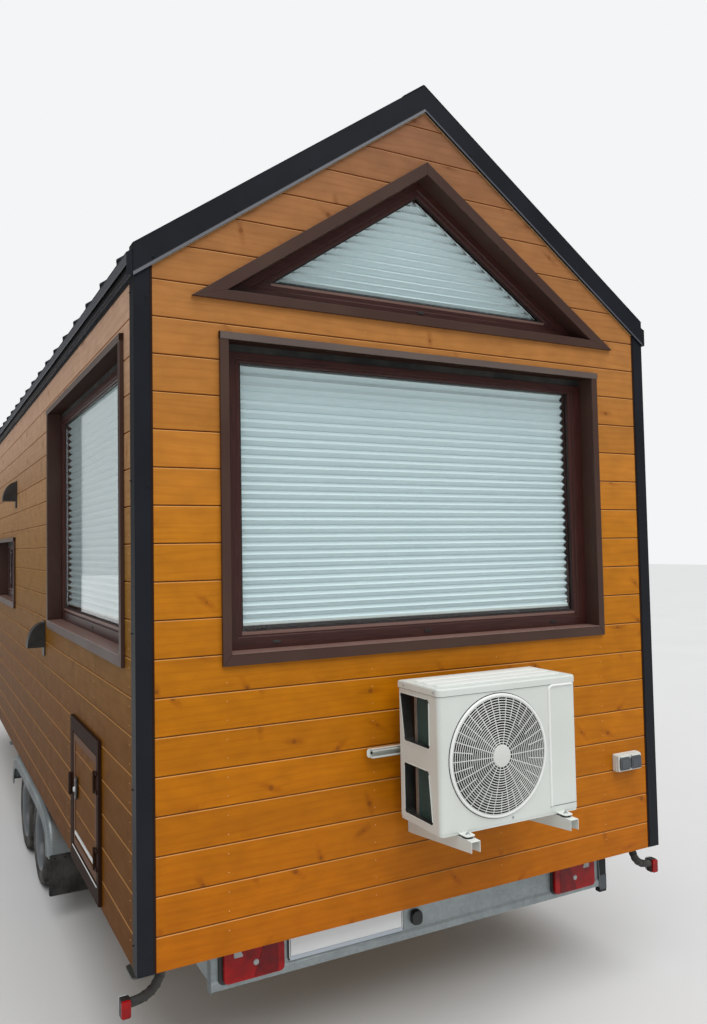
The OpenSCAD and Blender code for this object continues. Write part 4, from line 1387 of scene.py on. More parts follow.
@dataclass
class Windows:
    """All the house's windows, with the blinds that are drawn behind most of them."""

    pleat: float = 0.0339
    fold: float = 0.021
    cloth: float = 0.0008
    stretch: float = 0.07
    blind_at: float = 0.1005
    blind_gap: float = 0.0095
    foot_gap: float = 0.016
    rail: float = 0.014

    def __post_init__(self) -> None:
        """Names the windows of each wall."""
        self.rear = Window(Side.REAR, -0.938, 1.876, 1.016, 1.211)
        self.left = Window(Side.LEFT, 0.16, 1.77, 1.016, 1.211)
        self.right = Window(Side.RIGHT, 0.16, 1.77, 1.016, 1.211)
        self.ribbon = Window(Side.LEFT, 3.55, 1.2, 1.022, 0.517)
        self.gables = [
            GableWindow(side, -1.043, 2.086, 2.357, 0.7) for side in (Side.REAR, Side.FRONT)
        ]

    def build(self) -> None:
        """Builds casings, frames, glazing and blinds."""
        groups = {"end": [self.rear, *self.gables], "side": [self.left, self.right, self.ribbon]}
        for group, windows in groups.items():
            for window in windows:
                first = window is windows[0]
                for part in ("casings", "frames"):
                    shape = Shape(f"window_{part}_{group}_{windows.index(window)}", window.side)
                    (window.dress_casing if part == "casings" else window.dress_frame)(shape)
                    shape.done("brown_wood", replaces=[f"{group}_{part}"] if first else [])
            dress_node(f"{group}_glass", GLASS)
        self.hang_blinds()

    def folds(self, height: float) -> int:
        """How many half pleats cover a height."""
        return int(height / self.pleat * 2)

    def pleats(self, width: float, height: float) -> Mesh:
        """Folds one blind's cloth by Geometry Nodes, from its foot up.

        Args:
            width: The cloth's width.
            height: The height that it covers.

        Returns:
            The pleated sheet, given in the wall's own measures from its lower left corner.
        """
        work = Pattern("pleated cloth")
        step = work.size("Half pleat", self.pleat / 2)
        depth = work.size("Fold depth", self.fold)
        across = work.size("Width", width)
        number = work.size("Folds", self.folds(height) + 1, "Int")
        rise = work.node("ShaderNodeCombineXYZ", inputs={2: step})
        line = work.node("GeometryNodeMeshLine", inputs={"Count": number, "Offset": rise})
        index = work.node("GeometryNodeInputIndex")
        back = work.calc("MULTIPLY", work.calc("MODULO", index, 2.0), depth)
        # The cloth's weight opens the upper folds more than the lower ones.
        share = work.calc("DIVIDE", index, float(self.folds(height)))
        bow = work.calc("MULTIPLY", share, work.calc("SUBTRACT", share, 1.0))
        most = self.stretch * self.folds(height) * self.pleat / 2
        droop = work.calc("MULTIPLY", bow, most)
        zigzag = work.node(
            "GeometryNodeSetPosition",
            inputs={
                "Geometry": line,
                "Offset": work.node("ShaderNodeCombineXYZ", inputs={1: back, 2: droop}),
            },
        )
        spread = work.node(
            "GeometryNodeExtrudeMesh",
            {"mode": "EDGES"},
            {
                "Mesh": zigzag, "Offset": work.node("ShaderNodeCombineXYZ", inputs={0: across}),
                "Offset Scale": 1.0,
            },
        )
        sheet = work.mesh(spread, CLOTH)
        return changed(sheet, "SOLIDIFY", thickness=self.cloth, offset=0.0)

    def hang_blinds(self) -> None:
        """Hangs a pleated blind, with its foot rail, behind each large window."""
        for window, frame in ((self.rear, "end_0"), (self.left, "side_0"), (self.right, "side_1")):
            i = window.casing + window.bar
            low = window.foot + window.sill + window.low_bar + self.foot_gap
            high = window.foot + window.height - window.sill - window.top_bar + self.rail
            u0 = window.left + i + self.blind_gap
            u1 = window.left + window.width - i - self.blind_gap
            shape = Shape(f"blind_{window.side.value}", window.side)
            place = window.side.matrix @ Matrix.Translation((u0, self.blind_at, low + 0.012))
            cover = high - low - self.rail
            shape.add(self.pleats(u1 - u0, cover), CLOTH, place)
            cloth = shape.done("blind_fabric", replaces=["blinds"])
            shape = Shape(f"blind_rail_{window.side.value}", window.side)
            rail = rounded(
                oblong((self.blind_at, low), (self.blind_at + 0.0215, low + 0.013)), 0.004, 3
            )
            shape.prism(rail, Axis.X, u0, u1, WHITE_PLASTIC)
            rail = shape.done("blind_fabric")
        for number, window in enumerate(self.gables, 1):
            low = window.foot + window.sill + window.low_bar + 0.002
            outline = window.outline(window.casing + window.bar, window.sill + window.low_bar)
            base = -outline[0][0]
            tan = math.tan(math.radians(window.slope))
            reach = (outline[2][1] - low) / tan
            shape = Shape(f"blind_gable_{window.side.value}", window.side)
            place = window.side.matrix @ Matrix.Translation((-base, self.blind_at, low - 0.004))
            shape.add(self.pleats(2 * base, outline[2][1] - low + 0.03), CLOTH, place)
            tool = Shape("tool", window.side, shape.finishes)
            tool.prism(
                [(-reach, low), (reach, low), (0.0, outline[2][1])], Axis.Y, 0.09, 0.13, CLOTH
            )
            shape.cut(tool, "INTERSECT")
            cloth = shape.done("blind_fabric")


def dress_node(name: str, finish: Finish) -> None:
    """Gives a CAD node a finish, on its object's own material slots."""
    node = next(o for o in bpy.data.objects if o.get("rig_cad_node") == name or o.name == name)
    if not node.material_slots:
        node.data.materials.append(finish.material())
    for place in node.material_slots:
        place.material = finish.material()
    log.info("%s: carried over in %s", name, finish.title)


@dataclass
class BoardedWalls:
    """The four walls: rows of edge-rounded boards over a backing, cut round the openings."""

    windows: Windows
    depth: float = 0.0095
    gap: float = 0.0032
    edge: float = 0.0034
    wall: float = 0.14

    def rows(self, length: float, start: float, top: float) -> Mesh:
        """Lays rows of boards by Geometry Nodes, from under the wall's foot to over its top.

        Args:
            length: Length of each board.
            start: Where the boards start along the wall.
            top: Height that they have to reach.

        Returns:
            The boards, given in the wall's own measures.
        """
        work = Pattern("rows of boards")
        pitch = work.size("Board pitch", BOARD_PITCH)
        gap = work.size("Joint width", self.gap)
        depth = work.size("Board depth", self.depth)
        edge = work.size("Edge rounding", self.edge)
        run = work.size("Board length", length)
        first = work.size(
            "First board", (start, self.depth / 2 + 0.0002, BOARD_BASE + BOARD_PITCH / 2), "Vector"
        )
        number = work.size("Number of boards", int((top - BOARD_BASE) / BOARD_PITCH) + 1, "Int")
        face = work.calc("SUBTRACT", pitch, gap)
        section = work.node(
            "GeometryNodeCurvePrimitiveQuadrilateral", inputs={"Width": depth, "Height": face}
        )
        section = work.node(
            "GeometryNodeFilletCurve", {"mode": "POLY"},
            {"Curve": section, "Radius": edge, "Count": 3},
        )
        end = work.node("GeometryNodeFillCurve", {"mode": "NGONS"}, {"Curve": section})
        along = work.node("ShaderNodeCombineXYZ", inputs={2: run})
        board = work.node(
            "GeometryNodeExtrudeMesh", {"mode": "FACES"},
            {"Mesh": end, "Offset": along, "Offset Scale": 1.0},
        )
        both = work.joined(board, work.node("GeometryNodeFlipFaces", inputs={"Mesh": end}))
        whole = work.node(
            "GeometryNodeMergeByDistance", inputs={"Geometry": both, "Distance": 1e-5}
        )
        laid = work.node(
            "GeometryNodeTransform",
            inputs={"Geometry": whole, "Rotation": (math.pi / 2, 0.0, math.pi / 2)},
        )
        step = work.node("ShaderNodeCombineXYZ", inputs={2: pitch})
        line = work.node(
            "GeometryNodeMeshLine",
            inputs={"Count": number, "Start Location": first, "Offset": step},
        )
        return work.mesh(
            work.node("GeometryNodeInstanceOnPoints", inputs={"Points": line, "Instance": laid}),
            WOOD_X,
        )

    def boards(self, side: Side, outline: Outline, holes: Sequence[Outline]) -> Shape:
        """Cuts rows of boards to a wall's outline and its openings.

        Args:
            side: The wall.
            outline: Its outline along the wall and up.
            holes: Its openings.

        Returns:
            The boards as a shape.
        """
        finish = WOOD_X if side in (Side.REAR, Side.FRONT) else WOOD_Y
        low = min(p[0] for p in outline) - 0.02
        high = max(p[0] for p in outline) + 0.02
        shape = Shape(f"boards_{side.value}", side)
        shape.add(self.rows(high - low, low, max(p[1] for p in outline)), finish, side.matrix)
        tool = Shape("tool", side, shape.finishes)
        tool.prism(outline, Axis.Y, -0.003, 0.02, finish, holes=holes)
        return shape.cut(tool, "INTERSECT")

    def nails(
        self, shape: Shape, columns: Sequence[float], outline_top: Any, holes: Sequence[Outline]
    ) -> None:
        """Sets two nails in each board at each stud.

        Args:
            shape: The wall that takes them.
            columns: Places of the studs along the wall.
            outline_top: The wall's height at a place along it.
            holes: Openings, where there are no nails.
        """
        points = []
        for u in columns:
            row = 0
            while BOARD_BASE + row * BOARD_PITCH < outline_top(u):
                for z in (0.034, BOARD_PITCH - 0.034):
                    height = BOARD_BASE + row * BOARD_PITCH + z
                    inside = any(
                        all(
                            min(
                                p[k] for p in hole
                            ) - clear < place < max(p[k] for p in hole) + clear
                            for k, place, clear in ((0, u, 0.04), (1, height, 0.05))
                        )
                        for hole in holes
                    )
                    if 0.02 < height < outline_top(u) - 0.03 and not inside:
                        points.append((u, 0.0002, height))
                row += 1
        shape.fasten(Fasteners(0.0024, 0.001, NAIL), points)

    def build(self) -> None:
        """Builds the rear, front, left and right walls."""
        gable, inner = (
            [
                (-HALF_W + edge, 0.0), (HALF_W - edge, 0.0), (HALF_W - edge, EAVE), (0.0, top),
                (-HALF_W + edge, EAVE),
            ]
            for edge, top in ((0.001, APEX), (self.depth, APEX - 0.001))
        )
        long = oblong((0.0, 0.0), (LENGTH, EAVE))
        hatch = oblong((0.601, 0.089), (1.121, 0.605))
        door = oblong((3.7, 0.14), (4.6, 2.14))
        ends = {
            Side.REAR: ([self.windows.rear.hole(), self.windows.gables[0].hole()], "wall_rear"),
            Side.FRONT: ([self.windows.gables[1].hole()], "wall_front"),
        }
        for side, (holes, node) in ends.items():
            shape = self.boards(side, gable, holes)
            shape.prism(inner, Axis.Y, self.depth, self.wall, BACKING, holes=holes)
            self.nails(shape, (-0.92, -0.31, 0.31, 0.92), lambda u: APEX - abs(u) * TAN_P, holes)
            shape.done("stained_wood", replaces=[node])
        flanks = {
            Side.LEFT: (
                [self.windows.left.hole(), self.windows.ribbon.hole(), hatch],
                ["wall_left", "wall_left_low"],
            ),
            Side.RIGHT: ([self.windows.right.hole(), door], ["wall_right"]),
        }
        for side, (holes, nodes) in flanks.items():
            shape = self.boards(side, long, holes)
            body = oblong((self.wall, 0.0), (LENGTH - self.wall, EAVE))
            shape.prism(body, Axis.Y, self.depth, self.wall, BACKING, holes=holes)
            wedge = [(self.depth, EAVE), (self.wall, EAVE), (self.wall, EAVE + self.wall * TAN_P)]
            shape.prism(wedge, Axis.X, self.wall, LENGTH - self.wall, BACKING)
            studs = [0.1 + 0.61 * i for i in range(11)]
            self.nails(shape, studs, lambda u: EAVE, holes)
            shape.done("stained_wood", replaces=nodes)
        dress_node("floor", FLOORING)


@dataclass
class Roof:
    """Insulated roof panels under standing seam sheet, with a folded ridge cap."""

    panel: float = 0.078
    sheet: float = 0.004
    reach: float = 0.028
    seam_pitch: float = 0.29
    seam_height: float = 0.018
    ridge: float = 0.13

    def slope(self, mirror: int) -> None:
        """Lays one slope's pans and seams."""
        side = "right" if mirror > 0 else "left"
        shape = Shape(f"roof_pans_{side}")
        edge = HALF_W + self.reach
        low, high = self.panel + 0.0002, self.panel + self.sheet
        rings = []
        for run in (0.0, edge - 0.012, edge):
            rings.append(
                [
                    over_roof(mirror, run, r, y)
                    for y, r in ((0.0, low), (LENGTH, low), (LENGTH, high), (0.0, high))
                ],
            )
        shape.loft(rings, ROOF_SHEET)
        # A double-lock seam: an upright web under a folded, rounded head.
        head = self.seam_height
        section = [
            (-0.0015, -0.002), (-0.0015, head - 0.008), (-0.0052, head - 0.0085),
            (-0.006, head - 0.003), (-0.004, head), (0.004, head), (0.006, head - 0.003),
            (0.0052, head - 0.0085), (0.0015, head - 0.008), (0.0015, -0.002),
        ]
        seam = Shape("seam")
        seam.loft(
            [
                [over_roof(mirror, run, high + r, self.seam_pitch / 2 + y) for y, r in section]
                for run in (0.062, edge)
            ],
            ROOF_SHEET,
        )
        # Two shallow beads stiffen each pan between its seams, so their row is one shorter.
        beads = Shape("beads")
        for share in (0.33, 0.67):
            y = self.seam_pitch * (0.5 + share)
            bead = [
                (y - 0.012, -0.001), (y - 0.005, 0.0022), (y + 0.005, 0.0022), (y + 0.012, -0.001)
            ]
            beads.loft(
                [
                    [over_roof(mirror, run, high + r, along) for along, r in bead]
                    for run in (0.11, edge - 0.05)
                ],
                ROOF_SHEET,
            )
        count = int((LENGTH - 0.012 - self.seam_pitch / 2) / self.seam_pitch) + 1
        for part, number in ((seam, count), (beads, count - 1)):
            row = in_row(part.plain(), ROOF_SHEET, (0.0, self.seam_pitch, 0.0), number)
            shape.add(row, ROOF_SHEET)
        shape.done("roof_metal", replaces=[f"roof_sheet_{side}"])

    def cap(self) -> None:
        """Folds the ridge cap, with hemmed edges, end plates and screws."""
        shape = Shape("ridge_cap_folded")
        top = APEX + (
            max(self.panel + self.sheet + self.seam_height, 0.1) + 0.00005
        ) / COS_P + 0.004
        x, d = self.ridge * COS_P, self.ridge * SIN_P
        line = [
            (-x + 0.009, top - d - 0.0045), (-x, top - d - 0.0035), (-x + 0.002, top - d + 0.001),
            (0.0, top), (x - 0.002, top - d + 0.001), (x, top - d - 0.0035),
            (x - 0.009, top - d - 0.0045),
        ]
        shape.prism(folded(line, -0.0016), Axis.Y, 0.0, LENGTH, ROOF_SHEET, 0.0005)
        for y in (0.0, LENGTH - 0.002):
            shape.prism(
                [(-x + 0.004, top - d - 0.002), (x - 0.004, top - d - 0.002), (0.0, top - 0.003)],
                Axis.Y,
                y,
                y + 0.002,
                ROOF_SHEET,
            )
        rows = [self.seam_pitch * (i + 0.5) for i in range(int(LENGTH / self.seam_pitch + 0.5))]
        for mirror in (-1, 1):
            points = [(mirror * (x - 0.03), y, top - d + 0.019) for y in rows]
            facing = (mirror * SIN_P, 0.0, COS_P)
            shape.fasten(Fasteners(0.006, 0.0015, ANTHRACITE, True), points, facing)
        shape.done("roof_metal", replaces=["ridge_cap"])

    def build(self) -> None:
        """Builds both slopes and the ridge."""
        for mirror in (-1, 1):
            self.slope(mirror)
        self.cap()
        for name in ("roof_left", "roof_right"):
            dress_node(name, PANELLING)


@dataclass
class Flashings:
    """Folded anthracite edges: gable verges with a drip lip, eaves and corner trims."""

    verge: float = 0.1
    verge_screws: tuple[float, ...] = (0.233, 0.55, 0.867, 1.184)
    corner_screws: tuple[float, ...] = (0.07, 0.595, 1.13, 1.663, 2.332)
    leg: float = 0.055
    face: float = 0.004

    def verges(self) -> None:
        """Folds the four gable edges, from an outward drip lip to a return over the roof."""
        line = [
            (0.0, 0.003), (-0.0112, 0.0004), (-0.0118, 0.003), (-0.0052, 0.0185),
            (-0.0052, self.verge - 0.004), (-0.0072, self.verge - 0.001),
            (0.045, self.verge - 0.001),
        ]
        section = folded(line, -0.0016)
        # The drip lip is painted lighter than the verge's face, a painted highlight.
        lip = [(-0.0121, 0.0012), (-0.0074, 0.0122), (-0.008, 0.0127), (-0.0125, 0.002)]
        end = [
            (-0.0052, 0.002), (0.0, 0.002), (0.0, 0.083), (0.045, 0.083), (0.045, 0.0985),
            (-0.0052, 0.0985),
        ]
        plate = [(0.004, 2.403), (0.0268, 2.4035), (0.0275, 2.478), (0.0265, 2.4815), (0.004, 2.49)]
        for side in (Side.REAR, Side.FRONT):
            shape = Shape(f"verge_{side.value}", side)
            for mirror in (-1, 1):
                for outline, near, far, finish, bevel in (
                    (section, 0.0, HALF_W + 0.006, ANTHRACITE, 0.0004),
                    (lip, 0.0, HALF_W + 0.0055, LIP_SHEET_PAINTED_HIGHLIGHT, 0.0),
                    (end, HALF_W + 0.0045, HALF_W + 0.006, ANTHRACITE, 0.0),
                ):
                    rings = [[over_roof(mirror, x, w, v) for v, w in outline] for x in (near, far)]
                    shape.loft(rings, finish, bevel)
                placed = [(mirror * (HALF_W + x), z) for x, z in plate]
                shape.prism(placed, Axis.Y, -0.0045, 0.0, ANTHRACITE, 0.0004)
                points = [
                    over_roof(mirror, x, self.verge * 0.25, -0.0056) for x in self.verge_screws
                ]
                shape.fasten(Fasteners(0.0052, 0.002, CAST, True), points)
            shape.done("anthracite_metal", replaces=["verge_trims"])

    def eaves(self) -> None:
        """Folds the drip edge, the recessed band and the lower lip of both eaves. The drip edge and
        the lip are painted lighter, painted highlights; the band and a thin strip under the lip are
        painted black, painted shade.
        """
        drip = [
            (-0.01, 2.4905), (0.0265, 2.4815), (0.0275, 2.478), (0.0275, 2.4455), (0.0235, 2.443)
        ]
        band = oblong((0.0, 2.476), (0.012, 2.411))
        foot = [
            (0.0, 2.413), (0.015, 2.4125), (0.0235, 2.408), (0.027, 2.4035), (0.0262, 2.4028),
            (0.0222, 2.4065), (0.0145, 2.4105), (0.0, 2.41),
        ]
        # A thin black strip under the lower lip is painted shade over the top board.
        seam = oblong((0.0, 2.3915), (0.0042, 2.4108))
        for mirror in (-1, 1):
            shape = Shape("eave_left" if mirror < 0 else "eave_right")
            for outline, finish in (
                (folded(drip, -0.0014), LIP_SHEET_PAINTED_HIGHLIGHT), (band, CAST), (foot, LIP_SHEET_PAINTED_HIGHLIGHT), (seam, CAST)
            ):
                placed = [(mirror * (HALF_W + x), z) for x, z in outline]
                shape.prism(placed, Axis.Y, 0.0, LENGTH, finish, 0.0003)
            shape.done("anthracite_metal", replaces=["eave_trims"])

    def corners(self) -> None:
        """Folds the four corner trims, each with a dark strip beside it, for a sealing strip and
        painted shade in its gap, and screws.
        """
        x, t, leg = HALF_W, self.face, self.leg
        for side in (Side.REAR, Side.FRONT):
            shape = Shape(f"corner_trims_{side.value}", side)
            for mirror in (-1, 1):
                line = [
                    (x - leg, -0.0003), (x - leg + 0.001, -t), (x + t, -t), (x + t, leg - 0.001),
                    (x + 0.0003, leg),
                ]
                strip = [
                    (x - leg - 0.0085, -0.0016), (x - leg, -0.0016), (x - leg, 0.0003),
                    (x - leg - 0.0085, 0.0003),
                ]
                for outline, finish, bevel in (
                    (folded(line, 0.0012), ANTHRACITE, 0.0006), (strip, DARK_CASING, 0.0004)
                ):
                    foot = [Vector((mirror * a, b, 0.001)) for a, b in outline]
                    # The head is cut to the slope, close under the verge.
                    head = [
                        Vector((mirror * a, b, EAVE + 0.002 + max(x - a, 0.0) * TAN_P))
                        for a, b in outline
                    ]
                    shape.loft([foot, head], finish, bevel)
                screw = Fasteners(0.0045, 0.002, CAST, True)
                front = [(mirror * (x - leg + 0.012), -t, z) for z in self.corner_screws]
                flank = [(mirror * (x + t), leg - 0.014, z + 0.02) for z in self.corner_screws]
                shape.fasten(screw, front)
                shape.fasten(screw, flank, (mirror, 0.0, 0.0))
            shape.done("anthracite_metal", replaces=["corner_trims"])

    def build(self) -> None:
        """Builds all the edges."""
        self.verges()
        self.eaves()
        self.corners()


class Studio:
    """Pale floor, soft light and the camera at the photograph's angle."""

    def floor(self) -> None:
        """Lays a pale matt floor, which keeps the object's shadow."""
        part = bmesh.new()
        bmesh.ops.create_grid(part, x_segments=1, y_segments=1, size=60)
        mesh = bpy.data.meshes.new("studio_floor")
        part.to_mesh(mesh)
        part.free()
        mesh.materials.append(StudioFloor("pale matt studio floor").material())
        piece = bpy.data.objects.new("studio_floor", mesh)
        bpy.context.scene.collection.objects.link(piece)

    def world(self) -> None:
        """Lights the scene evenly and shows a pale background to the camera, and through glass."""
        world = bpy.data.worlds.new("soft studio")
        world.use_nodes = True
        tree = world.node_tree
        tree.nodes.clear()
        path = add_node(tree, "ShaderNodeLightPath").outputs
        seen = add_node(
            tree, "ShaderNodeMath", {"operation": "MAXIMUM"},
            {0: path["Is Camera Ray"], 1: path["Is Transmission Ray"]},
        )
        level = add_node(
            tree, "ShaderNodeMath", {"operation": "MULTIPLY_ADD"},
            {0: path["Is Glossy Ray"], 1: -0.2, 2: 0.42},
        )
        light = add_node(
            tree, "ShaderNodeBackground", inputs={0: linear("#FFFFFF"), 1: level.outputs[0]}
        )
        shown = add_node(tree, "ShaderNodeBackground", inputs={0: linear("#F4F5F6"), 1: 1.0})
        both = add_node(
            tree, "ShaderNodeMixShader",
            inputs={0: seen.outputs[0], 1: light.outputs[0], 2: shown.outputs[0]},
        )
        add_node(tree, "ShaderNodeOutputWorld", inputs={0: both.outputs[0]})
        bpy.context.scene.world = world

    def lamps(self) -> None:
        """Hangs a broad soft lamp high behind the camera and a weaker one beyond the house."""
        for name, strength, spread, towards in (
            ("key", 2.7, 60.0, (-0.04, 0.46, -1.0)), ("fill", 0.45, 110.0, (0.5, -0.55, -0.5))
        ):
            lamp = bpy.data.lights.new(name, "SUN")
            lamp.energy = strength
            lamp.angle = math.radians(spread)
            holder = bpy.data.objects.new(name, lamp)
            holder.rotation_mode = "QUATERNION"
            holder.rotation_quaternion = Vector(towards).to_track_quat("-Z", "Y")
            holder.visible_glossy = name == "key"
            bpy.context.scene.collection.objects.link(holder)

    def camera(self) -> None:
        """Stands the camera where the photograph's perspective puts it."""
        data = bpy.data.cameras.new("camera")
        data.sensor_fit = "VERTICAL"
        data.sensor_width = data.sensor_height = 36.0
        data.lens = 27.943
        data.shift_x, data.shift_y = 0.047, -0.0012
        data.clip_start, data.clip_end = 0.05, 300.0
        holder = bpy.data.objects.new("camera", data)
        right = Vector((0.8963212, -0.44313781, -0.01540076))
        down = Vector((0.00679205, 0.04845033, -0.9988025))
        ahead = Vector((0.44335332, 0.89514326, 0.04643687))
        turn = Matrix((right, -down, -ahead)).transposed().to_4x4()
        holder.matrix_world = Matrix.Translation((-1.94194, -6.39461, 2.01931)) @ turn
        bpy.context.scene.collection.objects.link(holder)
        bpy.context.scene.camera = holder

    def build(self) -> None:
        """Sets the stage."""
        self.floor()
        self.world()
        self.lamps()
        self.camera()
        bpy.context.scene.view_settings.view_transform = "Standard"


@dataclass
class OutdoorUnit:
    """The air conditioner's outdoor unit on its wall bracket."""

    left: float = -0.237
    right: float = 0.431
    front: float = -0.335
    back: float = -0.07
    foot: float = 0.389
    top: float = 0.919
    lid: float = 0.028
    round_edge: float = 0.022
    fan_x: float = 0.036
    fan_z: float = 0.652
    guard: float = 0.23
    rings: int = 19
    spokes: int = 36
    wire: float = 0.0018
    stand_off: float = 0.004
    bulge: float = 0.014
    well: float = 0.218
    arms: tuple[float, float] = (-0.138, 0.332)
    arm_reach: float = 0.405

    @property
    def face(self) -> float:
        """Where the housing's sheet stands, a little behind its front measure."""
        return self.front + 0.003

    def plan(self, grow: float) -> Points:
        """The housing's outline from above, with its two front corners rounded."""
        x0, x1 = self.left - grow, self.right + grow
        y0, y1 = self.front - grow, self.back + grow
        r = self.round_edge + grow
        made = [(x1, y1), (x0, y1)]
        for centre, start in (((x0 + r, y0 + r), math.pi), ((x1 - r, y0 + r), 1.5 * math.pi)):
            for i in range(9):
                turn = start + math.pi / 2 * i / 8
                made.append((centre[0] + r * math.cos(turn), centre[1] + r * math.sin(turn)))
        return made

    def housing(self) -> None:
        """Builds the housing with its fan well, end openings, service cover and lid."""
        shape = Shape("unit_housing_sheet")
        body_top = self.top - self.lid + 0.004
        shape.prism(self.plan(-0.003), Axis.Z, self.foot + 0.01, body_top, WHITE_SHEET, 0.0015)
        tool = Shape("tool", Side.REAR, shape.finishes)
        face = self.face
        tool.prism(
            circle((self.fan_x, self.fan_z), self.well, 72), Axis.Y, face - 0.05, face + 0.15,
            PAINTED_SHADE_BLACK,
        )
        upper = [(-0.27, 0.691), (-0.27, 0.873), (-0.079, 0.873), (-0.105, 0.691)]
        lower = [(-0.283, 0.418), (-0.262, 0.611), (-0.1, 0.611), (-0.1, 0.418)]
        for outline in (upper, lower):
            tool.prism(
                rounded(outline, 0.016, 4), Axis.X, self.left - 0.05, self.left + 0.05, PAINTED_SHADE_BLACK
            )
        tool.box(
            (0.283, face - 0.05, 0.4215), (self.right + 0.05, face + 0.003, 0.4235), PAINTED_SHADE_BLACK
        )
        shape.cut(tool)
        # The lid overhangs the housing and is rounded over at its edges; a dark grey band under it
        # is painted shade in the seam.
        shape.prism(self.plan(-0.0022), Axis.Z, body_top - 0.0055, body_top - 0.0035, GREY_PLASTIC)
        rings = (
            (0.0, body_top - 0.0037), (0.0, self.top - 0.0075), (-0.0012, self.top - 0.004),
            (-0.0038, self.top - 0.0012), (-0.0085, self.top),
        )
        shape.loft(
            [[Axis.Z.point(p, z) for p in self.plan(grow)] for grow, z in rings], WHITE_SHEET
        )
        for outline in (upper, lower):
            for edge in range(4):
                a, b = Vector(outline[edge]), Vector(outline[(edge + 1) % 4])
                step = (b - a).normalized() * 0.014
                shape.rod(
                    [(self.left + 0.0025, *(a + step)), (self.left + 0.0025, *(b - step))], 0.0022,
                    WHITE_SHEET, 8,
                )
        # The lid's shallow ribs are painted brighter white, a painted highlight.
        for y in (-0.268, -0.205, -0.142):
            rib = rounded(
                oblong((self.left + 0.032, y - 0.017), (self.right - 0.032, y + 0.017)), 0.016, 5
            )
            shape.prism(rib, Axis.Z, self.top - 0.001, self.top + 0.0038, WHITE_PAINTED_HIGHLIGHT, 0.003)
        # The service cover stands proud, with a round bead along its left side and its top; the
        # bead is painted brighter white, a painted highlight.
        shape.box((0.288, face - 0.001, 0.4245), (0.4085, face + 0.002, 0.885), WHITE_SHEET, 0.0008)
        line = [
            (0.288, 0.4245),
            (0.288, 0.866),
            *(
                (0.306 - 0.018 * math.cos(t), 0.868 + 0.018 * math.sin(t))
                for t in (0.2, 0.6, 1.0, 1.4)
            ),
            (0.308, 0.886),
            (0.407, 0.886),
        ]
        shape.rod([(x, face - 0.0004, z) for x, z in line], 0.0052, WHITE_PAINTED_HIGHLIGHT, 14)
        # The bottom pan shows as a thin tray under the housing.
        shape.prism(
            self.plan(-0.0045), Axis.Z, self.foot + 0.0005, self.foot + 0.0115, WHITE_SHEET, 0.0015
        )
        for spots, facing in (
            (((-0.2372, -0.112, 0.905), (-0.2372, -0.305, 0.905)), (-1.0, 0.0, 0.0)),
            (((0.095, face - 0.0004, 0.413),), (0.0, -1.0, 0.0)),
        ):
            shape.fasten(Fasteners(0.005, 0.0018, SCREW, True), spots, facing)
        self._feet(shape)
        shape.done("white_metal", replaces=["unit_housing"])

    def _feet(self, shape: Shape) -> None:
        """Adds the feet: rounded tabs on rubber pads, each with its bolt."""
        for x in self.arms:
            shape.box(
                (x - 0.022, -0.332, self.foot + 0.001),
                (x + 0.022, self.back - 0.003, self.foot + 0.012), WHITE_SHEET, 0.002,
            )
            for y in (-0.357, -0.048):
                pad = [
                    (0.0, 0.3872), (0.019, 0.3872), (0.0205, 0.391), (0.019, 0.3946), (0.0, 0.3946)
                ]
                shape.lathe(pad, (x, y, 0.0), Axis.Z, GASKET, 24)
                tab = rounded(oblong((x - 0.022, y - 0.023), (x + 0.022, y + 0.03)), 0.014, 5)
                shape.prism(tab, Axis.Z, 0.3946, 0.3978, WHITE_SHEET, 0.0008)
        bolts = [(x, -0.359, 0.398) for x in self.arms]
        shape.fasten(Fasteners(0.009, 0.003, SCREW, True), bolts, (0.0, 0.0, 1.0))

    def coil(self) -> None:
        """Builds the coil, its end plate and a dark brown plate behind them, painted shade of the
        recess, that show through the end openings.
        """
        shape = Shape("unit_coil")
        x = self.left + 0.03
        shape.box((x, -0.29, 0.41), (x + 0.019, -0.158, 0.88), COIL, 0.001)
        shape.box((x - 0.003, -0.158, 0.41), (x + 0.012, -0.14, 0.88), STEEL, 0.001)
        shape.box((x + 0.0165, -0.14, 0.41), (x + 0.0195, -0.072, 0.88), DARK_CASING, 0.001)
        shape.done("dark_metal")

    def fan(self) -> None:
        """Builds the fan's ring, blades and hub in the well behind the guard."""
        shape = Shape("unit_fan")
        y = self.face
        centre = (self.fan_x, 0.0, self.fan_z)
        # The fan's ring is near black, painted shade in the well.
        shape.lathe(
            [(0.2145, y + 0.004), (0.2175, y + 0.004), (0.2115, y + 0.12), (0.2085, y + 0.12)],
            centre,
            Axis.Y,
            PAINTED_SHADE_BLACK,
            72,
        )
        shape.lathe(
            [
                (0.0, y + 0.045), (0.048, y + 0.045), (0.056, y + 0.053), (0.056, y + 0.11),
                (0.0, y + 0.11),
            ],
            centre,
            Axis.Y,
            GREY_PLASTIC,
        )
        for k in range(3):
            rings = []
            for i in range(9):
                share = i / 8
                r = 0.05 + 0.148 * share
                middle = math.tau * k / 3 + 0.35 * share
                ring = []
                for turn, depth in (
                    (-0.42, 0.108), (0.0, 0.078), (0.46, 0.052), (0.0, 0.0765), (-0.42, 0.1065)
                ):
                    angle = middle + turn * (1.05 - 0.28 * share)
                    ring.append(
                        Vector(
                            (
                                self.fan_x + r * math.cos(angle), y + depth,
                                self.fan_z + r * math.sin(angle),
                            ),
                        ),
                    )
                ring[3] += Vector((0.0, 0.002, 0.0))
                rings.append(ring)
            shape.loft(rings, GREY_PLASTIC)
        shape.done("dark_metal")

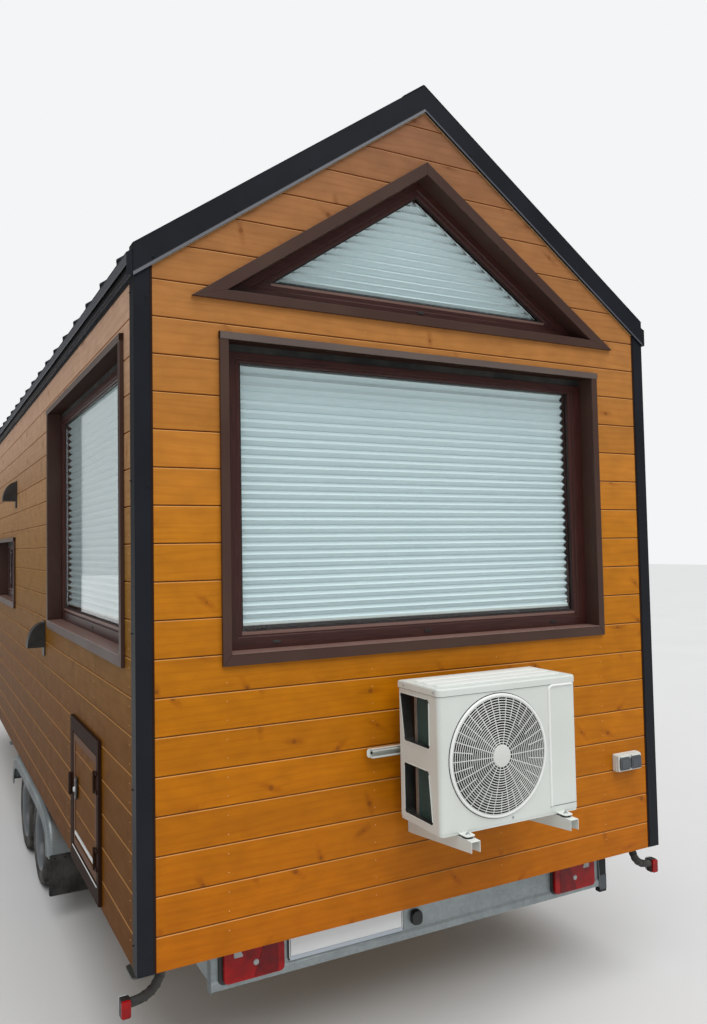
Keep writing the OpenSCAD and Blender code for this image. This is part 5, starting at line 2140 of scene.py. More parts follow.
    def dome(self, radius: float) -> float:
        """How far the guard stands in front of the housing at a radius."""
        return self.stand_off + self.bulge * (1 - (radius / self.guard) ** 2)

    def fan_guard(self) -> None:
        """Weaves the guard from rings and spokes round a plain hub, inside a moulded rim."""
        face = self.face
        shape = Shape("unit_guard_wires")
        work = Pattern("guard rings")
        number = work.size("Rings", self.rings, "Int")
        first = work.size("First radius", 0.05)
        step = work.size("Ring pitch", (0.2165 - 0.05) / (self.rings - 1))
        reach = work.size("Guard radius", self.guard)
        wire = work.size("Wire radius", self.wire)
        line = work.node(
            "GeometryNodeMeshLine", inputs={"Count": number, "Offset": (0.0, 0.0, 0.0)}
        )
        radius = work.calc("MULTIPLY_ADD", work.node("GeometryNodeInputIndex"), step, first)
        # The rings stand out as dome() says.
        square = work.calc("POWER", work.calc("DIVIDE", radius, reach), 2.0)
        out = work.calc("MULTIPLY_ADD", square, -self.bulge, self.stand_off + self.bulge)
        moved = work.node(
            "GeometryNodeSetPosition",
            inputs={"Geometry": line, "Offset": work.node("ShaderNodeCombineXYZ", inputs={2: out})},
        )
        ring = work.node(
            "GeometryNodeCurvePrimitiveCircle", inputs={"Resolution": 72, "Radius": 1.0}
        )
        rings = work.node(
            "GeometryNodeInstanceOnPoints",
            inputs={
                "Points": moved,
                "Instance": ring,
                "Scale": work.node("ShaderNodeCombineXYZ", inputs={0: radius, 1: radius, 2: 1.0}),
            },
        )
        curves = work.node("GeometryNodeRealizeInstances", inputs={0: rings})
        section = work.node(
            "GeometryNodeCurvePrimitiveCircle", inputs={"Resolution": 6, "Radius": wire}
        )
        wires = work.node(
            "GeometryNodeCurveToMesh", inputs={"Curve": curves, "Profile Curve": section}
        )
        place = Side.REAR.matrix @ Matrix.Translation(
            (self.fan_x, face, self.fan_z)
        ) @ Matrix.Rotation(math.pi / 2, 4, "X")
        shape.add(work.mesh(wires, WHITE_PLASTIC), WHITE_PLASTIC, place)
        half = self.spokes // 2
        for start, turn in ((0.04, 0.0), (0.135, math.pi / half)):
            spoke = Shape("spoke")
            path = []
            for i in range(7):
                r = start + (0.2215 - start) * i / 6
                path.append(
                    (r * math.cos(turn), self.front + 0.0042 - self.dome(r), r * math.sin(turn))
                )
            spoke.rod(path, 0.0019, WHITE_PLASTIC, 6)
            spoke.whole.transform(Side.REAR.matrix.inverted())
            middle = (self.fan_x, REAR_Y, self.fan_z + BASE_Z)
            wheel = in_circle(spoke.plain(), WHITE_PLASTIC, middle, Axis.Y, half)
            shape.add(wheel, WHITE_PLASTIC)
        centre = (self.fan_x, 0.0, self.fan_z)
        # The moulded rim is painted brighter white, a painted highlight, and a dark ring round it
        # is painted shade in the gap.
        rim = [
            (0.218, face + 0.002), (0.218, face - 0.005), (0.22, face - 0.0075),
            (0.2255, face - 0.0075), (0.229, face - 0.0045), (0.229, face + 0.002),
        ]
        shape.lathe(rim, centre, Axis.Y, WHITE_PAINTED_HIGHLIGHT, 96)
        shape.lathe(
            [
                (0.2285, face - 0.0012), (0.2318, face - 0.0008), (0.2318, face + 0.001),
                (0.2285, face + 0.001),
            ],
            centre,
            Axis.Y,
            PAINTED_SHADE_BLACK,
            96,
        )
        hub = [
            (0.0, face - 0.0205), (0.036, face - 0.0205), (0.0405, face - 0.0188),
            (0.0428, face - 0.0145), (0.0, face - 0.013),
        ]
        shape.lathe(hub, centre, Axis.Y, WHITE_PLASTIC, 48)
        shape.done("white_plastic", replaces=["unit_guard"], angle=40)

    def bracket(self) -> None:
        """Folds the wall rail and the two channel arms with their wall legs."""
        shape = Shape("unit_bracket_channels")
        left, right, low, high = -0.354, 0.562, 0.621, 0.655
        shape.prism(
            rounded(oblong((left, low), (right, high)), 0.013, 5), Axis.Y, -0.0225, -0.02,
            WHITE_SHEET, 0.0006,
        )
        for z in (low, high - 0.0025):
            shape.box(
                (left + 0.012, -0.045, z), (right - 0.012, -0.0205, z + 0.0025), WHITE_SHEET, 0.0006
            )
        for z in (low, high - 0.008):
            shape.box(
                (left + 0.012, -0.045, z), (right - 0.012, -0.0425, z + 0.008), WHITE_SHEET, 0.0006
            )
        # Dark discs at the rail's ends are painted shade in its holes.
        for x in (left + 0.02, right - 0.02):
            shape.lathe(
                oblong((0.0, -0.0231), (0.0055, -0.0222)), (x, 0.0, 0.638), Axis.Y, PAINTED_SHADE_BLACK, 20
            )
        top = self.foot - 0.002
        web = [
            (-self.arm_reach, top - 0.04), (-0.02, top - 0.085), (-0.02, top),
            (-self.arm_reach, top),
        ]
        for x in self.arms:
            for side in (x - 0.02, x + 0.0174):
                shape.prism(web, Axis.X, side, side + 0.0026, WHITE_SHEET, 0.0007)
            shape.box(
                (x - 0.0178, -self.arm_reach, top - 0.0026), (x + 0.0178, -0.02, top), WHITE_SHEET,
                0.0006,
            )
            leg = folded(
                [(x - 0.02, -0.001), (x - 0.02, -0.02), (x + 0.02, -0.02), (x + 0.02, -0.001)],
                0.0026,
            )
            shape.prism(leg, Axis.Z, top - 0.085, 0.64, WHITE_SHEET, 0.0007)
            bolts = [(x, -0.0202, z) for z in (0.34, 0.59)]
            shape.fasten(Fasteners(0.008, 0.002, SCREW, True), bolts)
        shape.done("white_metal", replaces=["unit_bracket"])

    def build(self) -> None:
        """Builds the unit."""
        self.housing()
        self.coil()
        self.fan()
        self.fan_guard()
        self.bracket()


@dataclass
class ServiceHatch:
    """The small boarded hatch low in the left wall: casing, hinged leaf and lock."""

    low: tuple[float, float] = (0.606, 0.094)
    high: tuple[float, float] = (1.116, 0.6)
    gap: float = 0.005
    rim: float = 0.034
    front: float = -0.012
    thick: float = 0.03
    hinge: tuple[float, float] = (0.609, -0.022)
    knuckle: float = 0.06

    def casing(self) -> None:
        """Builds the casing with a bright sill line and the hinges' outer knuckles."""
        (u0, z0), (u1, z1) = self.low, self.high
        shape = Shape("hatch_casing_folded", Side.LEFT)
        outer = oblong((0.565, 0.014), (1.181, 0.671))
        inner = oblong((u0 - self.gap, z0 - self.gap), (u1 + self.gap, z1 + self.gap))
        shape.prism(outer, Axis.Y, -0.015, 0.0, DARK_CASING, 0.0018, holes=[inner])
        rebate = oblong((u0 + 0.012, z0 + 0.012), (u1 - 0.012, z1 - 0.012))
        shape.prism(inner, Axis.Y, 0.022, 0.05, GASKET, holes=[rebate])
        shape.box(
            (u0 - 0.012, -0.0172, z0 - 0.0125), (u1 + 0.012, -0.0145, z0 - 0.0065), BRIGHT, 0.0008
        )
        for z in self.hinge_feet():
            for low, high in (
                (z - 0.014, z - 0.0003), (z + self.knuckle + 0.0003, z + self.knuckle + 0.014)
            ):
                u, v = self.hinge
                shape.lathe(oblong((0.0, low), (0.006, high)), (u, v, 0.0), Axis.Z, DARK_CASING, 20)
                shape.box((u0 - 0.031, v + 0.001, low), (u, -0.0148, high), DARK_CASING, 0.0008)
        keeper = rounded(oblong((1.13, 0.308), (1.158, 0.412)), 0.014, 6)
        shape.prism(keeper, Axis.Y, -0.031, -0.0148, DARK_CASING, 0.007)
        shape.done("brown_wood", replaces=["hatch_casing"])

    def hinge_feet(self) -> tuple[float, float]:
        """Heights of the middle knuckles' lower ends."""
        return self.low[1] + 0.07, self.high[1] - 0.07 - self.knuckle

    def leaf(self) -> None:
        """Builds the leaf: a folded rim round boards whose joints follow the wall's."""
        (u0, z0), (u1, z1) = self.low, self.high
        shape = Shape("hatch_leaf_boarded", Side.LEFT)
        f, r = self.front, self.rim
        section = [
            (0, f), (r, f), (r, f + 0.005), (0.006, f + 0.006), (0.006, f + self.thick),
            (0, f + self.thick),
        ]
        shape.border(oblong(self.low, self.high), section, [LEAF_SHEET], 0.0012)
        edges = [z0 + 0.004, *(BOARD_JOINT + k * BOARD_PITCH for k in range(4)), z1 - 0.004]
        for low, high in zip(edges, edges[1:]):
            if high - low > 0.03:
                shape.box(
                    (u0 + 0.007, f + 0.003, low + 0.0016), (u1 - 0.007, f + 0.014, high - 0.0016),
                    WOOD_Y, 0.002,
                )
        shape.box(
            (u0 + 0.006, f + 0.012, z0 + 0.003), (u1 - 0.006, f + 0.026, z1 - 0.003), PANELLING,
            0.001,
        )
        shape.box(
            (u0 + 0.05, f - 0.0016, z0 + 0.052), (u1 - 0.034, f + 0.0034, z0 + 0.067), BRIGHT,
            0.0008,
        )
        for z in self.hinge_feet():
            u, v = self.hinge
            shape.lathe(
                oblong((0.0, z), (0.006, z + self.knuckle)), (u, v, 0.0), Axis.Z, DARK_CASING, 20
            )
            shape.box(
                (u, f - 0.0055, z), (u0 + 0.034, f + 0.0002, z + self.knuckle), LEAF_SHEET, 0.0008
            )
            points = [(u0 + 0.026, f - 0.0054, z + d) for d in (0.012, 0.048)]
            shape.fasten(Fasteners(0.004, 0.0015, LEAF_SHEET), points)
        shape.done("brown_wood", HATCH, replaces=["hatch_leaf"])

    def lock(self) -> None:
        """Builds the oval lock plate with its bright cylinder and folding ring."""
        u, z = self.high[0] - 0.086, 0.365
        shape = Shape("hatch_lock_plate", Side.LEFT)
        outline = [
            (u + 0.021 * math.cos(t), z + 0.052 * math.sin(t))
            for t in [math.tau * i / 40 for i in range(40)]
        ]
        shape.prism(outline, Axis.Y, self.front - 0.01, self.front, BLACK_PLASTIC, 0.003)
        centre = (u, 0.0, z - 0.003)
        shape.lathe(
            [
                (0.0, self.front - 0.018), (0.008, self.front - 0.018),
                (0.0115, self.front - 0.0155), (0.0115, self.front - 0.009),
                (0.0, self.front - 0.009),
            ],
            centre,
            Axis.Y,
            BRIGHT,
            28,
        )
        shape.box(
            (u - 0.0012, self.front - 0.0186, z - 0.009),
            (u + 0.0012, self.front - 0.0175, z + 0.003), GASKET,
        )
        points = [(u, self.front - 0.0101, z + d) for d in (-0.038, 0.038)]
        shape.fasten(Fasteners(0.004, 0.0014, SCREW), points)
        shape.done("dark_metal", HATCH, replaces=["hatch_lock"])

    def build(self) -> None:
        """Builds the hatch."""
        self.casing()
        self.leaf()
        self.lock()


@dataclass
class EntryDoor:
    """The half-glazed entry door in the right wall."""

    left: float = 3.7
    width: float = 0.9
    foot: float = 0.14
    height: float = 2.0
    rail: float = 0.12
    face: float = 0.02
    thick: float = 0.06

    def build(self) -> None:
        """Builds casing, frame, leaf, pane, panel, threshold and handle."""
        shape = Shape("entry_door_leaf", Side.RIGHT)
        u0, u1, z0, z1 = self.left, self.left + self.width, self.foot, self.foot + self.height
        v = self.face
        top = z1 + 0.042
        for low, high in (
            ((u0 - 0.042, -0.015, z0), (u0 + 0.03, 0.0, top)),
            ((u1 - 0.03, -0.015, z0), (u1 + 0.042, 0.0, top)),
        ):
            shape.box(low, high, BROWN_SHEET, 0.0016)
        shape.box((u0 + 0.0305, -0.015, z1 - 0.03), (u1 - 0.0305, 0.0, top), BROWN_SHEET, 0.0016)
        # The head cap is grey brown, a painted sky sheen as on the window caps.
        shape.box(
            (u0 - 0.048, -0.03 + 0.0005, top - 0.011), (u1 + 0.048, 0.0, top + 0.012), CAP_SHEET_PAINTED_SHEEN,
            0.001,
        )
        for low, high in (
            ((u0, 0.0005, z0), (u0 + 0.03, v - 0.001, z1)),
            ((u1 - 0.03, 0.0005, z0), (u1, v - 0.001, z1)),
        ):
            shape.box(low, high, FOIL_Z, 0.001)
        shape.box((u0 + 0.0305, 0.0005, z1 - 0.03), (u1 - 0.0305, v - 0.001, z1), FOIL_Y, 0.001)
        shape.box(
            (u0 + 0.002, -0.012, z0 - 0.002), (u1 - 0.002, v + 0.04, z0 + 0.016), BRIGHT, 0.002
        )
        r = self.rail
        section = [(0, v), (r, v), (r, v + 0.018), (r, v + self.thick), (0, v + self.thick)]
        leaf = oblong((u0 + 0.004, z0 + 0.006), (u1 - 0.004, z1 - 0.004))
        shape.border(leaf, section, [FOIL_Y, FOIL_Z], 0.0012, [1.5, 1.0, 1.0, 1.0])
        i = r - 0.001
        bead = [
            (i, v + 0.002), (i + 0.012, v + 0.003), (i + 0.018, v + 0.012), (i + 0.018, v + 0.0175),
            (i, v + 0.0175),
        ]
        scale = [(1.5 * r - 0.001 + 0.012) / (r - 0.001 + 0.012), 1.0, 1.0, 1.0]
        shape.border(leaf, bead, [FOIL_Y, FOIL_Z], 0.0006, scale)
        low = z0 + 0.006 + 1.5 * r
        middle = z0 + 0.8
        shape.box(
            (u0 + r, v + 0.004, middle - 0.05), (u1 - r, v + 0.05, middle + 0.05), FOIL_Y, 0.0012
        )
        shape.box(
            (u0 + r, v + 0.014, low - 0.01), (u1 - r, v + 0.044, middle - 0.04), FOIL_Y, 0.001
        )
        panel = rounded(oblong((u0 + r + 0.06, low + 0.05), (u1 - r - 0.06, middle - 0.1)), 0.02, 4)
        shape.prism(panel, Axis.Y, v + 0.008, v + 0.016, FOIL_Z, 0.003)
        self._handle(shape, u0 + 0.085, z0 + 1.0, v)
        shape.done("brown_wood", replaces=["entry_door"])
        pane = Shape("entry_door_pane", Side.RIGHT)
        pane.box(
            (u0 + r - 0.006, v + 0.019, middle + 0.04),
            (u1 - r + 0.006, v + 0.039, z1 - 0.004 - r + 0.01), GLASS,
        )
        pane.done("glazing")

    def _handle(self, shape: Shape, u: float, z: float, v: float) -> None:
        """Adds the long backplate, the lever and the cylinder cover."""
        plate = rounded(oblong((u - 0.016, z - 0.11), (u + 0.016, z + 0.11)), 0.012, 5)
        shape.prism(plate, Axis.Y, v - 0.007, v + 0.001, BRIGHT, 0.002)
        lever = [
            (u, v - 0.004, z + 0.03), (u, v - 0.04, z + 0.03), (u + 0.006, v - 0.047, z + 0.03),
            (u + 0.02, v - 0.049, z + 0.03), (u + 0.122, v - 0.047, z + 0.03),
        ]
        shape.rod(lever, 0.0085, BRIGHT, 16)
        shape.lathe(
            [(0.0, v - 0.011), (0.008, v - 0.011), (0.0095, v - 0.008), (0.0095, v), (0.0, v)],
            (u, 0.0, z - 0.045),
            Axis.Y,
            BRIGHT,
            24,
        )
        shape.box((u - 0.001, v - 0.0116, z - 0.052), (u + 0.001, v - 0.0108, z - 0.038), GASKET)


@dataclass
class WallFittings:
    """Wall lamps on both sides and the twin outdoor socket on the rear wall."""

    lamp_width: float = 0.08
    plate_height: float = 0.2
    reach: float = 0.098
    hood: float = 0.141

    def lamp(self, shape: Shape, u: float, z: float) -> None:
        """Builds one lamp: a plate, a quarter-round hood and a white diffuser below it."""
        w = self.lamp_width / 2
        plate = rounded(oblong((u - w, z), (u + w, z + self.plate_height)), 0.01, 4)
        shape.prism(plate, Axis.Y, -0.008, 0.0, BLACK_PLASTIC, 0.0015)
        foot = z + 0.05
        arc = []
        for i in range(13):
            turn = math.pi / 2 * i / 12
            arc.append(
                (-0.008 - (self.reach - 0.008) * math.cos(turn), foot + self.hood * math.sin(turn))
            )
        cheek = [(-0.008, foot), *arc]
        for low, high in ((u - w, u - w + 0.003), (u + w - 0.003, u + w)):
            shape.prism(cheek, Axis.X, low, high, BLACK_PLASTIC, 0.001)
        hood = folded(arc, -0.003)
        shape.prism(hood, Axis.X, u - w + 0.002, u + w - 0.002, BLACK_PLASTIC)
        shape.box(
            (u - w + 0.003, -0.092, foot + 0.004), (u + w - 0.003, -0.008, foot + 0.01), DIFFUSER,
            0.001,
        )

    def lamps(self) -> None:
        """Builds two lamps on each side wall."""
        for side in (Side.LEFT, Side.RIGHT):
            shape = Shape(f"wall_lamps_{side.value}", side)
            for u, z in ((3.49, 1.765), (2.11, 0.84)):
                self.lamp(shape, u, z)
            shape.done("dark_metal", replaces=["wall_lamps"])

    def socket(self) -> None:
        """Builds the twin socket: a base, a moulded housing and two sprung flaps."""
        shape = Shape("outdoor_socket_twin")
        x0, x1, z0, z1 = 0.974, 1.124, 0.384, 0.463
        shape.prism(
            rounded(oblong((x0, z0), (x1, z1)), 0.009, 4), Axis.Y, -0.022, 0.0, WHITE_PLASTIC, 0.002
        )
        shape.prism(
            rounded(oblong((x0 + 0.002, z0 + 0.002), (x1 - 0.002, z1 - 0.002)), 0.009, 4),
            Axis.Y,
            -0.034,
            -0.0225,
            WHITE_PLASTIC,
            0.003,
        )
        for low, high in ((x0 + 0.008, x0 + 0.0715), (x1 - 0.0715, x1 - 0.008)):
            flap = rounded(oblong((low, z0 + 0.009), (high, z1 - 0.013)), 0.01, 5)
            shape.prism(flap, Axis.Y, -0.0425, -0.0335, GREY_PLASTIC, 0.003)
            inner = rounded(oblong((low + 0.007, z0 + 0.016), (high - 0.007, z1 - 0.021)), 0.01, 5)
            shape.prism(inner, Axis.Y, -0.0449, -0.042, GREY_PLASTIC, 0.0018)
            shape.rod(
                [(low + 0.006, -0.036, z1 - 0.0095), (high - 0.006, -0.036, z1 - 0.0095)], 0.0035,
                WHITE_PLASTIC, 12,
            )
        shape.done("white_plastic", replaces=["outdoor_socket"])

    def build(self) -> None:
        """Builds the lamps and the socket."""
        self.lamps()
        self.socket()


@dataclass
class Trailer:
    """The two-axle trailer: rear beam with its lamps, wheels, mudguards, drawbar and supports."""

    half: float = 0.96
    lip: float = 0.09
    web: float = 0.122
    beam_low: float = -0.17
    beam_high: float = -0.02
    axle_y: float = 2.771
    axle_pitch: float = 0.65
    wheel_x: float = 1.141
    wheel_z: float = -0.317
    guard_x: float = 1.262
    guard_top: float = -0.004
    shoulder: float = 0.03
    valance: float = 0.085
    tread_blocks: int = 64
    lugs: int = 5
    rim_holes: int = 8
    tip: float = 7.75

    def rear_beam(self) -> None:
        """Folds the rear beam with its lower lip, end plates and side step."""
        shape = Shape("rear_beam_folded")
        a, w, z0, z1 = self.lip, self.web, self.beam_low, self.beam_high
        line = [
            (a + 0.0085, z1), (a + 0.0085, z0 + 0.036), (a + 0.0045, z0 + 0.031),
            (a + 0.0015, z0 + 0.028), (a + 0.0015, z0 + 0.0015), (w - 0.0015, z0 + 0.0015),
        ]
        shape.prism(folded(line, 0.003), Axis.X, -self.half, self.half, STEEL, 0.0014)
        shape.prism(
            [(a + 0.007, z1 - 0.003), (w + 0.05, z1 - 0.003), (w + 0.05, z1), (a + 0.007, z1)],
            Axis.X,
            -self.half,
            self.half,
            STEEL,
            0.001,
        )
        # The end plates are painted darker galvanised steel, painted shade.
        for x0, x1 in ((-self.half - 0.003, -self.half), (self.half, self.half + 0.004)):
            shape.prism(
                [
                    (a - 0.002, z0 - 0.004), (w + 0.002, z0 - 0.004), (w + 0.002, z1),
                    (a + 0.005, z1), (a - 0.002, z0 + 0.024),
                ],
                Axis.X,
                x0,
                x1,
                STEEL_PAINTED_SHADE,
                0.0012,
            )
        shape.box((self.half + 0.0045, a + 0.004, -0.2), (self.half + 0.05, w, -0.05), CAST, 0.004)
        shape.box(
            (self.half + 0.006, a + 0.0015, -0.187), (self.half + 0.048, a + 0.0045, -0.12),
            GREY_PLASTIC, 0.002,
        )
        bolts = [(x, a + 0.0052, -0.04) for x in (-0.9, -0.45, 0.2, 0.5, 0.94)]
        shape.fasten(Fasteners(0.008, 0.002, SCREW, True), bolts)
        shape.done("galvanised", replaces=["rear_beam"])

    def tail_lamps(self) -> None:
        """Builds both tail lamps: base, red lens, darker field, clear corner and reflector."""
        y = self.web - 0.004
        for mirror in (-1, 1):
            shape = Shape("tail_lamp_left" if mirror < 0 else "tail_lamp_right")

            def flat(points: Outline) -> Points:
                """The outline on this side of the trailer."""
                return [(mirror * x, z) for x, z in points]

            base = rounded(oblong((0.666, -0.151), (0.93, -0.021)), 0.022, 5)
            shape.prism(flat(base), Axis.Y, y - 0.03, y, BLACK_PLASTIC, 0.003)
            lens = rounded(oblong((0.672, -0.146), (0.916, -0.026)), 0.022, 5)
            shape.prism(flat(lens), Axis.Y, y - 0.047, y - 0.0295, RED_LENS, 0.006)
            dark = rounded([(0.7, -0.14), (0.8, -0.14), (0.76, -0.034), (0.7, -0.034)], 0.008, 3)
            shape.prism(flat(dark), Axis.Y, y - 0.0485, y - 0.044, DEEP_LENS, 0.002)
            clear = rounded(
                [(0.84, -0.056), (0.878, -0.056), (0.878, -0.034), (0.85, -0.034)], 0.006, 3
            )
            shape.prism(flat(clear), Axis.Y, y - 0.0485, y - 0.044, CLEAR_LENS, 0.002)
            dot = [(0.0, y - 0.0502), (0.01, y - 0.0496), (0.012, y - 0.045), (0.0, y - 0.044)]
            shape.lathe(dot, (mirror * 0.79, 0.0, -0.088), Axis.Y, CLEAR_LENS, 24)
            shape.done("lamp_red", replaces=["tail_lamps"])

    def plate(self) -> None:
        """Builds the blank number plate in its holder, and the lamp beside it."""
        shape = Shape("number_plate_blank")
        shape.prism(
            rounded(oblong((-0.65, -0.128), (-0.13, -0.03)), 0.01, 4), Axis.Y, 0.0915, 0.095,
            BLACK_PLASTIC, 0.001,
        )
        shape.prism(
            rounded(oblong((-0.646, -0.124), (-0.134, -0.034)), 0.009, 4), Axis.Y, 0.09, 0.092,
            PLATE, 0.0005,
        )
        edge = oblong((0.0, 0.0898), (0.0022, 0.0905))
        shape.border(oblong((-0.642, -0.12), (-0.138, -0.038)), edge, [BLACK_PLASTIC])
        shape.box((-0.644, 0.088, -0.127), (-0.136, 0.0902, -0.112), HOLDER, 0.0008)
        shape.box((-0.62, 0.0945, -0.112), (-0.16, 0.118, -0.045), BLACK_PLASTIC, 0.004)
        shape.prism(
            rounded(oblong((-0.092, -0.118), (-0.042, -0.06)), 0.022, 6), Axis.Y, 0.078, 0.118,
            BLACK_PLASTIC, 0.004,
        )
        shape.done("white_metal", replaces=["number_plate"])

    def markers(self) -> None:
        """Builds the marker lamps on curved rubber arms under both rear corners."""
        for mirror in (-1, 1):
            shape = Shape("marker_lamp_left" if mirror < 0 else "marker_lamp_right")
            path = []
            for i in range(13):
                t = i / 12
                a, b, c = Vector((1.15, 0.065, -0.014)), Vector(
                    (1.164, 0.065, -0.112)
                ), Vector((1.272, 0.065, -0.108))
                path.append(a * (1 - t) ** 2 + b * 2 * t * (1 - t) + c * t * t)
            shape.rod([(mirror * p.x, p.y, p.z) for p in path], 0.0165, FLAP, 16)
            for share in (0.2, 0.35, 0.5, 0.65):
                k = round(share * 12)
                step = (path[k + 1] - path[k]).normalized() * 0.004
                ends = [path[k] - step, path[k] + step]
                shape.rod([(mirror * p.x, p.y, p.z) for p in ends], 0.018, FLAP, 16)
            x = sided(mirror, 1.08, 1.17)
            shape.box((x[0], 0.04, -0.0145), (x[1], 0.09, -0.0005), CAST, 0.003)
            x = sided(mirror, 1.262, 1.297)
            shape.box((x[0], 0.0495, -0.15), (x[1], 0.0805, -0.088), BLACK_PLASTIC, 0.004)
            lens = rounded(oblong((x[0] + 0.0005, -0.149), (x[1] - 0.0005, -0.089)), 0.009, 4)
            shape.prism(lens, Axis.Y, 0.0405, 0.0505, RED_LENS, 0.003)
            shape.prism(lens, Axis.Y, 0.0795, 0.0895, CLEAR_LENS, 0.003)
            shape.done("lamp_red", replaces=["marker_lamps"])

    def guard_path(self) -> Points:
        """The mudguard's upper line, with its bends eased, as places along the house and up."""
        half = [(-0.867, -0.236), (-0.85, -0.15), (-0.79, -0.058), (-0.62, -0.012), (-0.441, 0.0)]
        line = [(y, z) for y, z in half] + [(-y, z) for y, z in reversed(half)]
        for _ in range(2):
            eased = [line[0]]
            for (ay, az), (by, bz) in zip(line, line[1:]):
                eased += [
                    (ay * 0.75 + by * 0.25, az * 0.75 + bz * 0.25),
                    (ay * 0.25 + by * 0.75, az * 0.25 + bz * 0.75),
                ]
            line = [*eased, line[-1]]
        return [(self.axle_y + y, self.guard_top + z) for y, z in line]

    def mudguards(self) -> None:
        """Presses each mudguard with a rounded shoulder and a shallow, hemmed side."""
        path = self.guard_path()
        r = self.shoulder
        arc = [
            (self.guard_x - r + r * math.sin(t), -r + r * math.cos(t))
            for t in [math.pi / 2 * i / 7 for i in range(8)]
        ]
        section = folded([(self.half, 0.0), *arc], -0.002)
        normals = []
        for i in range(len(path)):
            a, b = Vector(path[max(i - 1, 0)]), Vector(path[min(i + 1, len(path) - 1)])
            step = (b - a).normalized()
            normals.append(Vector((-step.y, step.x)))
        for mirror, node in ((-1, "mudguard_left"), (1, "mudguard_right")):
            shape = Shape(f"{node}_pressed")
            rings = []
            for (y, z), n in zip(path, normals):
                rings.append([Vector((mirror * x, y + n.x * h, z + n.y * h)) for x, h in section])
            shape.loft(rings, STEEL)
            upper = [
                (y - n.x * (r - 0.002), z - n.y * (r - 0.002)) for (y, z), n in zip(path, normals)
            ]
            lower = [
                (y - n.x * self.valance, z - n.y * self.valance) for (y, z), n in zip(path, normals)
            ]
            # The side and its hem are painted darker galvanised steel, painted shade.
            x = sided(mirror, self.guard_x - 0.002, self.guard_x)
            shape.prism([*upper, *reversed(lower)], Axis.X, x[0], x[1], STEEL_PAINTED_SHADE)
            hem = [Vector((mirror * (self.guard_x - 0.003), y, z)) for y, z in lower]
            shape.rod(hem, 0.0045, STEEL_PAINTED_SHADE, 10)
            for end, sign in ((path[0], 1), (path[-1], -1)):
                y0, y1 = sorted((end[0] - sign * 0.003, end[0] + sign * 0.016))
                x = sided(mirror, self.half, self.guard_x - 0.004)
                shape.box((x[0], y0, end[1] - 0.004), (x[1], y1, end[1] + 0.001), STEEL, 0.001)
                shape.rod(
                    [
                        (x[0], end[0] - sign * 0.001, end[1] - 0.002),
                        (x[1], end[0] - sign * 0.001, end[1] - 0.002),
                    ],
                    0.0055,
                    SCREW,
                    12,
                )
            for y in (self.axle_y - 0.35, self.axle_y + 0.35):
                x = sided(mirror, self.half, self.guard_x - 0.1)
                shape.box(
                    (x[0], y - 0.02, self.guard_top - 0.05),
                    (x[1], y + 0.02, self.guard_top - 0.003), STEEL, 0.002,
                )
            shape.done("galvanised", replaces=[node])
            flap = Shape("mudflap_left" if mirror < 0 else "mudflap_right")
            x = sided(mirror, self.guard_x - 0.23, self.guard_x - 0.006)
            y = self.axle_y - 0.867
            outline = rounded(oblong((x[0], -0.45), (x[1], -0.2305)), 0.012, 4)
            flap.prism(outline, Axis.Y, y - 0.006, y - 0.001, FLAP, 0.001)
            for k in range(5):
                u = x[0] + 0.03 + 0.041 * k
                flap.box(
                    (u - 0.006, y - 0.0075, -0.43), (u + 0.006, y - 0.0055, -0.27), FLAP, 0.0009
                )
            flap.box(
                (x[0] + 0.004, y - 0.0085, -0.262), (x[1] - 0.004, y - 0.0055, -0.236), FLAP, 0.0008
            )
            points = [(x[0] + 0.03 + 0.055 * k, y - 0.009, -0.249) for k in range(4)]
            flap.fasten(Fasteners(0.006, 0.0018, CAST, True), points)
            flap.done("flap_rubber", replaces=["mudflaps"])

    def wheel(self, tyre: Shape, rim: Shape, mirror: int, y: float) -> None:
        """Adds one wheel to the tyres and the rims.

        Args:
            tyre: The tyres' shape.
            rim: The rims' shape.
            mirror: 1 on the right, -1 on the left.
            y: Place of its axle along the house.
        """
        half = [
            (0.172, 0.083), (0.18, 0.0885), (0.204, 0.0938), (0.224, 0.095), (0.24, 0.092),
            (0.251, 0.085), (0.2585, 0.074), (0.2612, 0.062), (0.2625, 0.048), (0.256, 0.046),
            (0.256, 0.039), (0.2628, 0.037), (0.263, 0.016), (0.256, 0.014), (0.256, 0.007),
            (0.263, 0.005),
        ]
        profile = [*half, *((r, -x) for r, x in reversed(half)), (0.166, -0.08), (0.166, 0.08)]
        centre = Vector((mirror * self.wheel_x, y, self.wheel_z))
        tyre.lathe(profile, centre, Axis.X, TYRE, 72)
        block = Shape("block")
        for sign in (-1, 1):
            block.prism(
                [
                    (0.249, sign * 0.0893), (0.262, sign * 0.077), (0.2632 - 0.0012, sign * 0.056),
                    (0.256, sign * 0.056),
                ],
                Axis.X,
                -0.0042,
                0.0042,
                TYRE,
                0.0008,
            )
        block.whole.transform(Side.REAR.matrix.inverted())
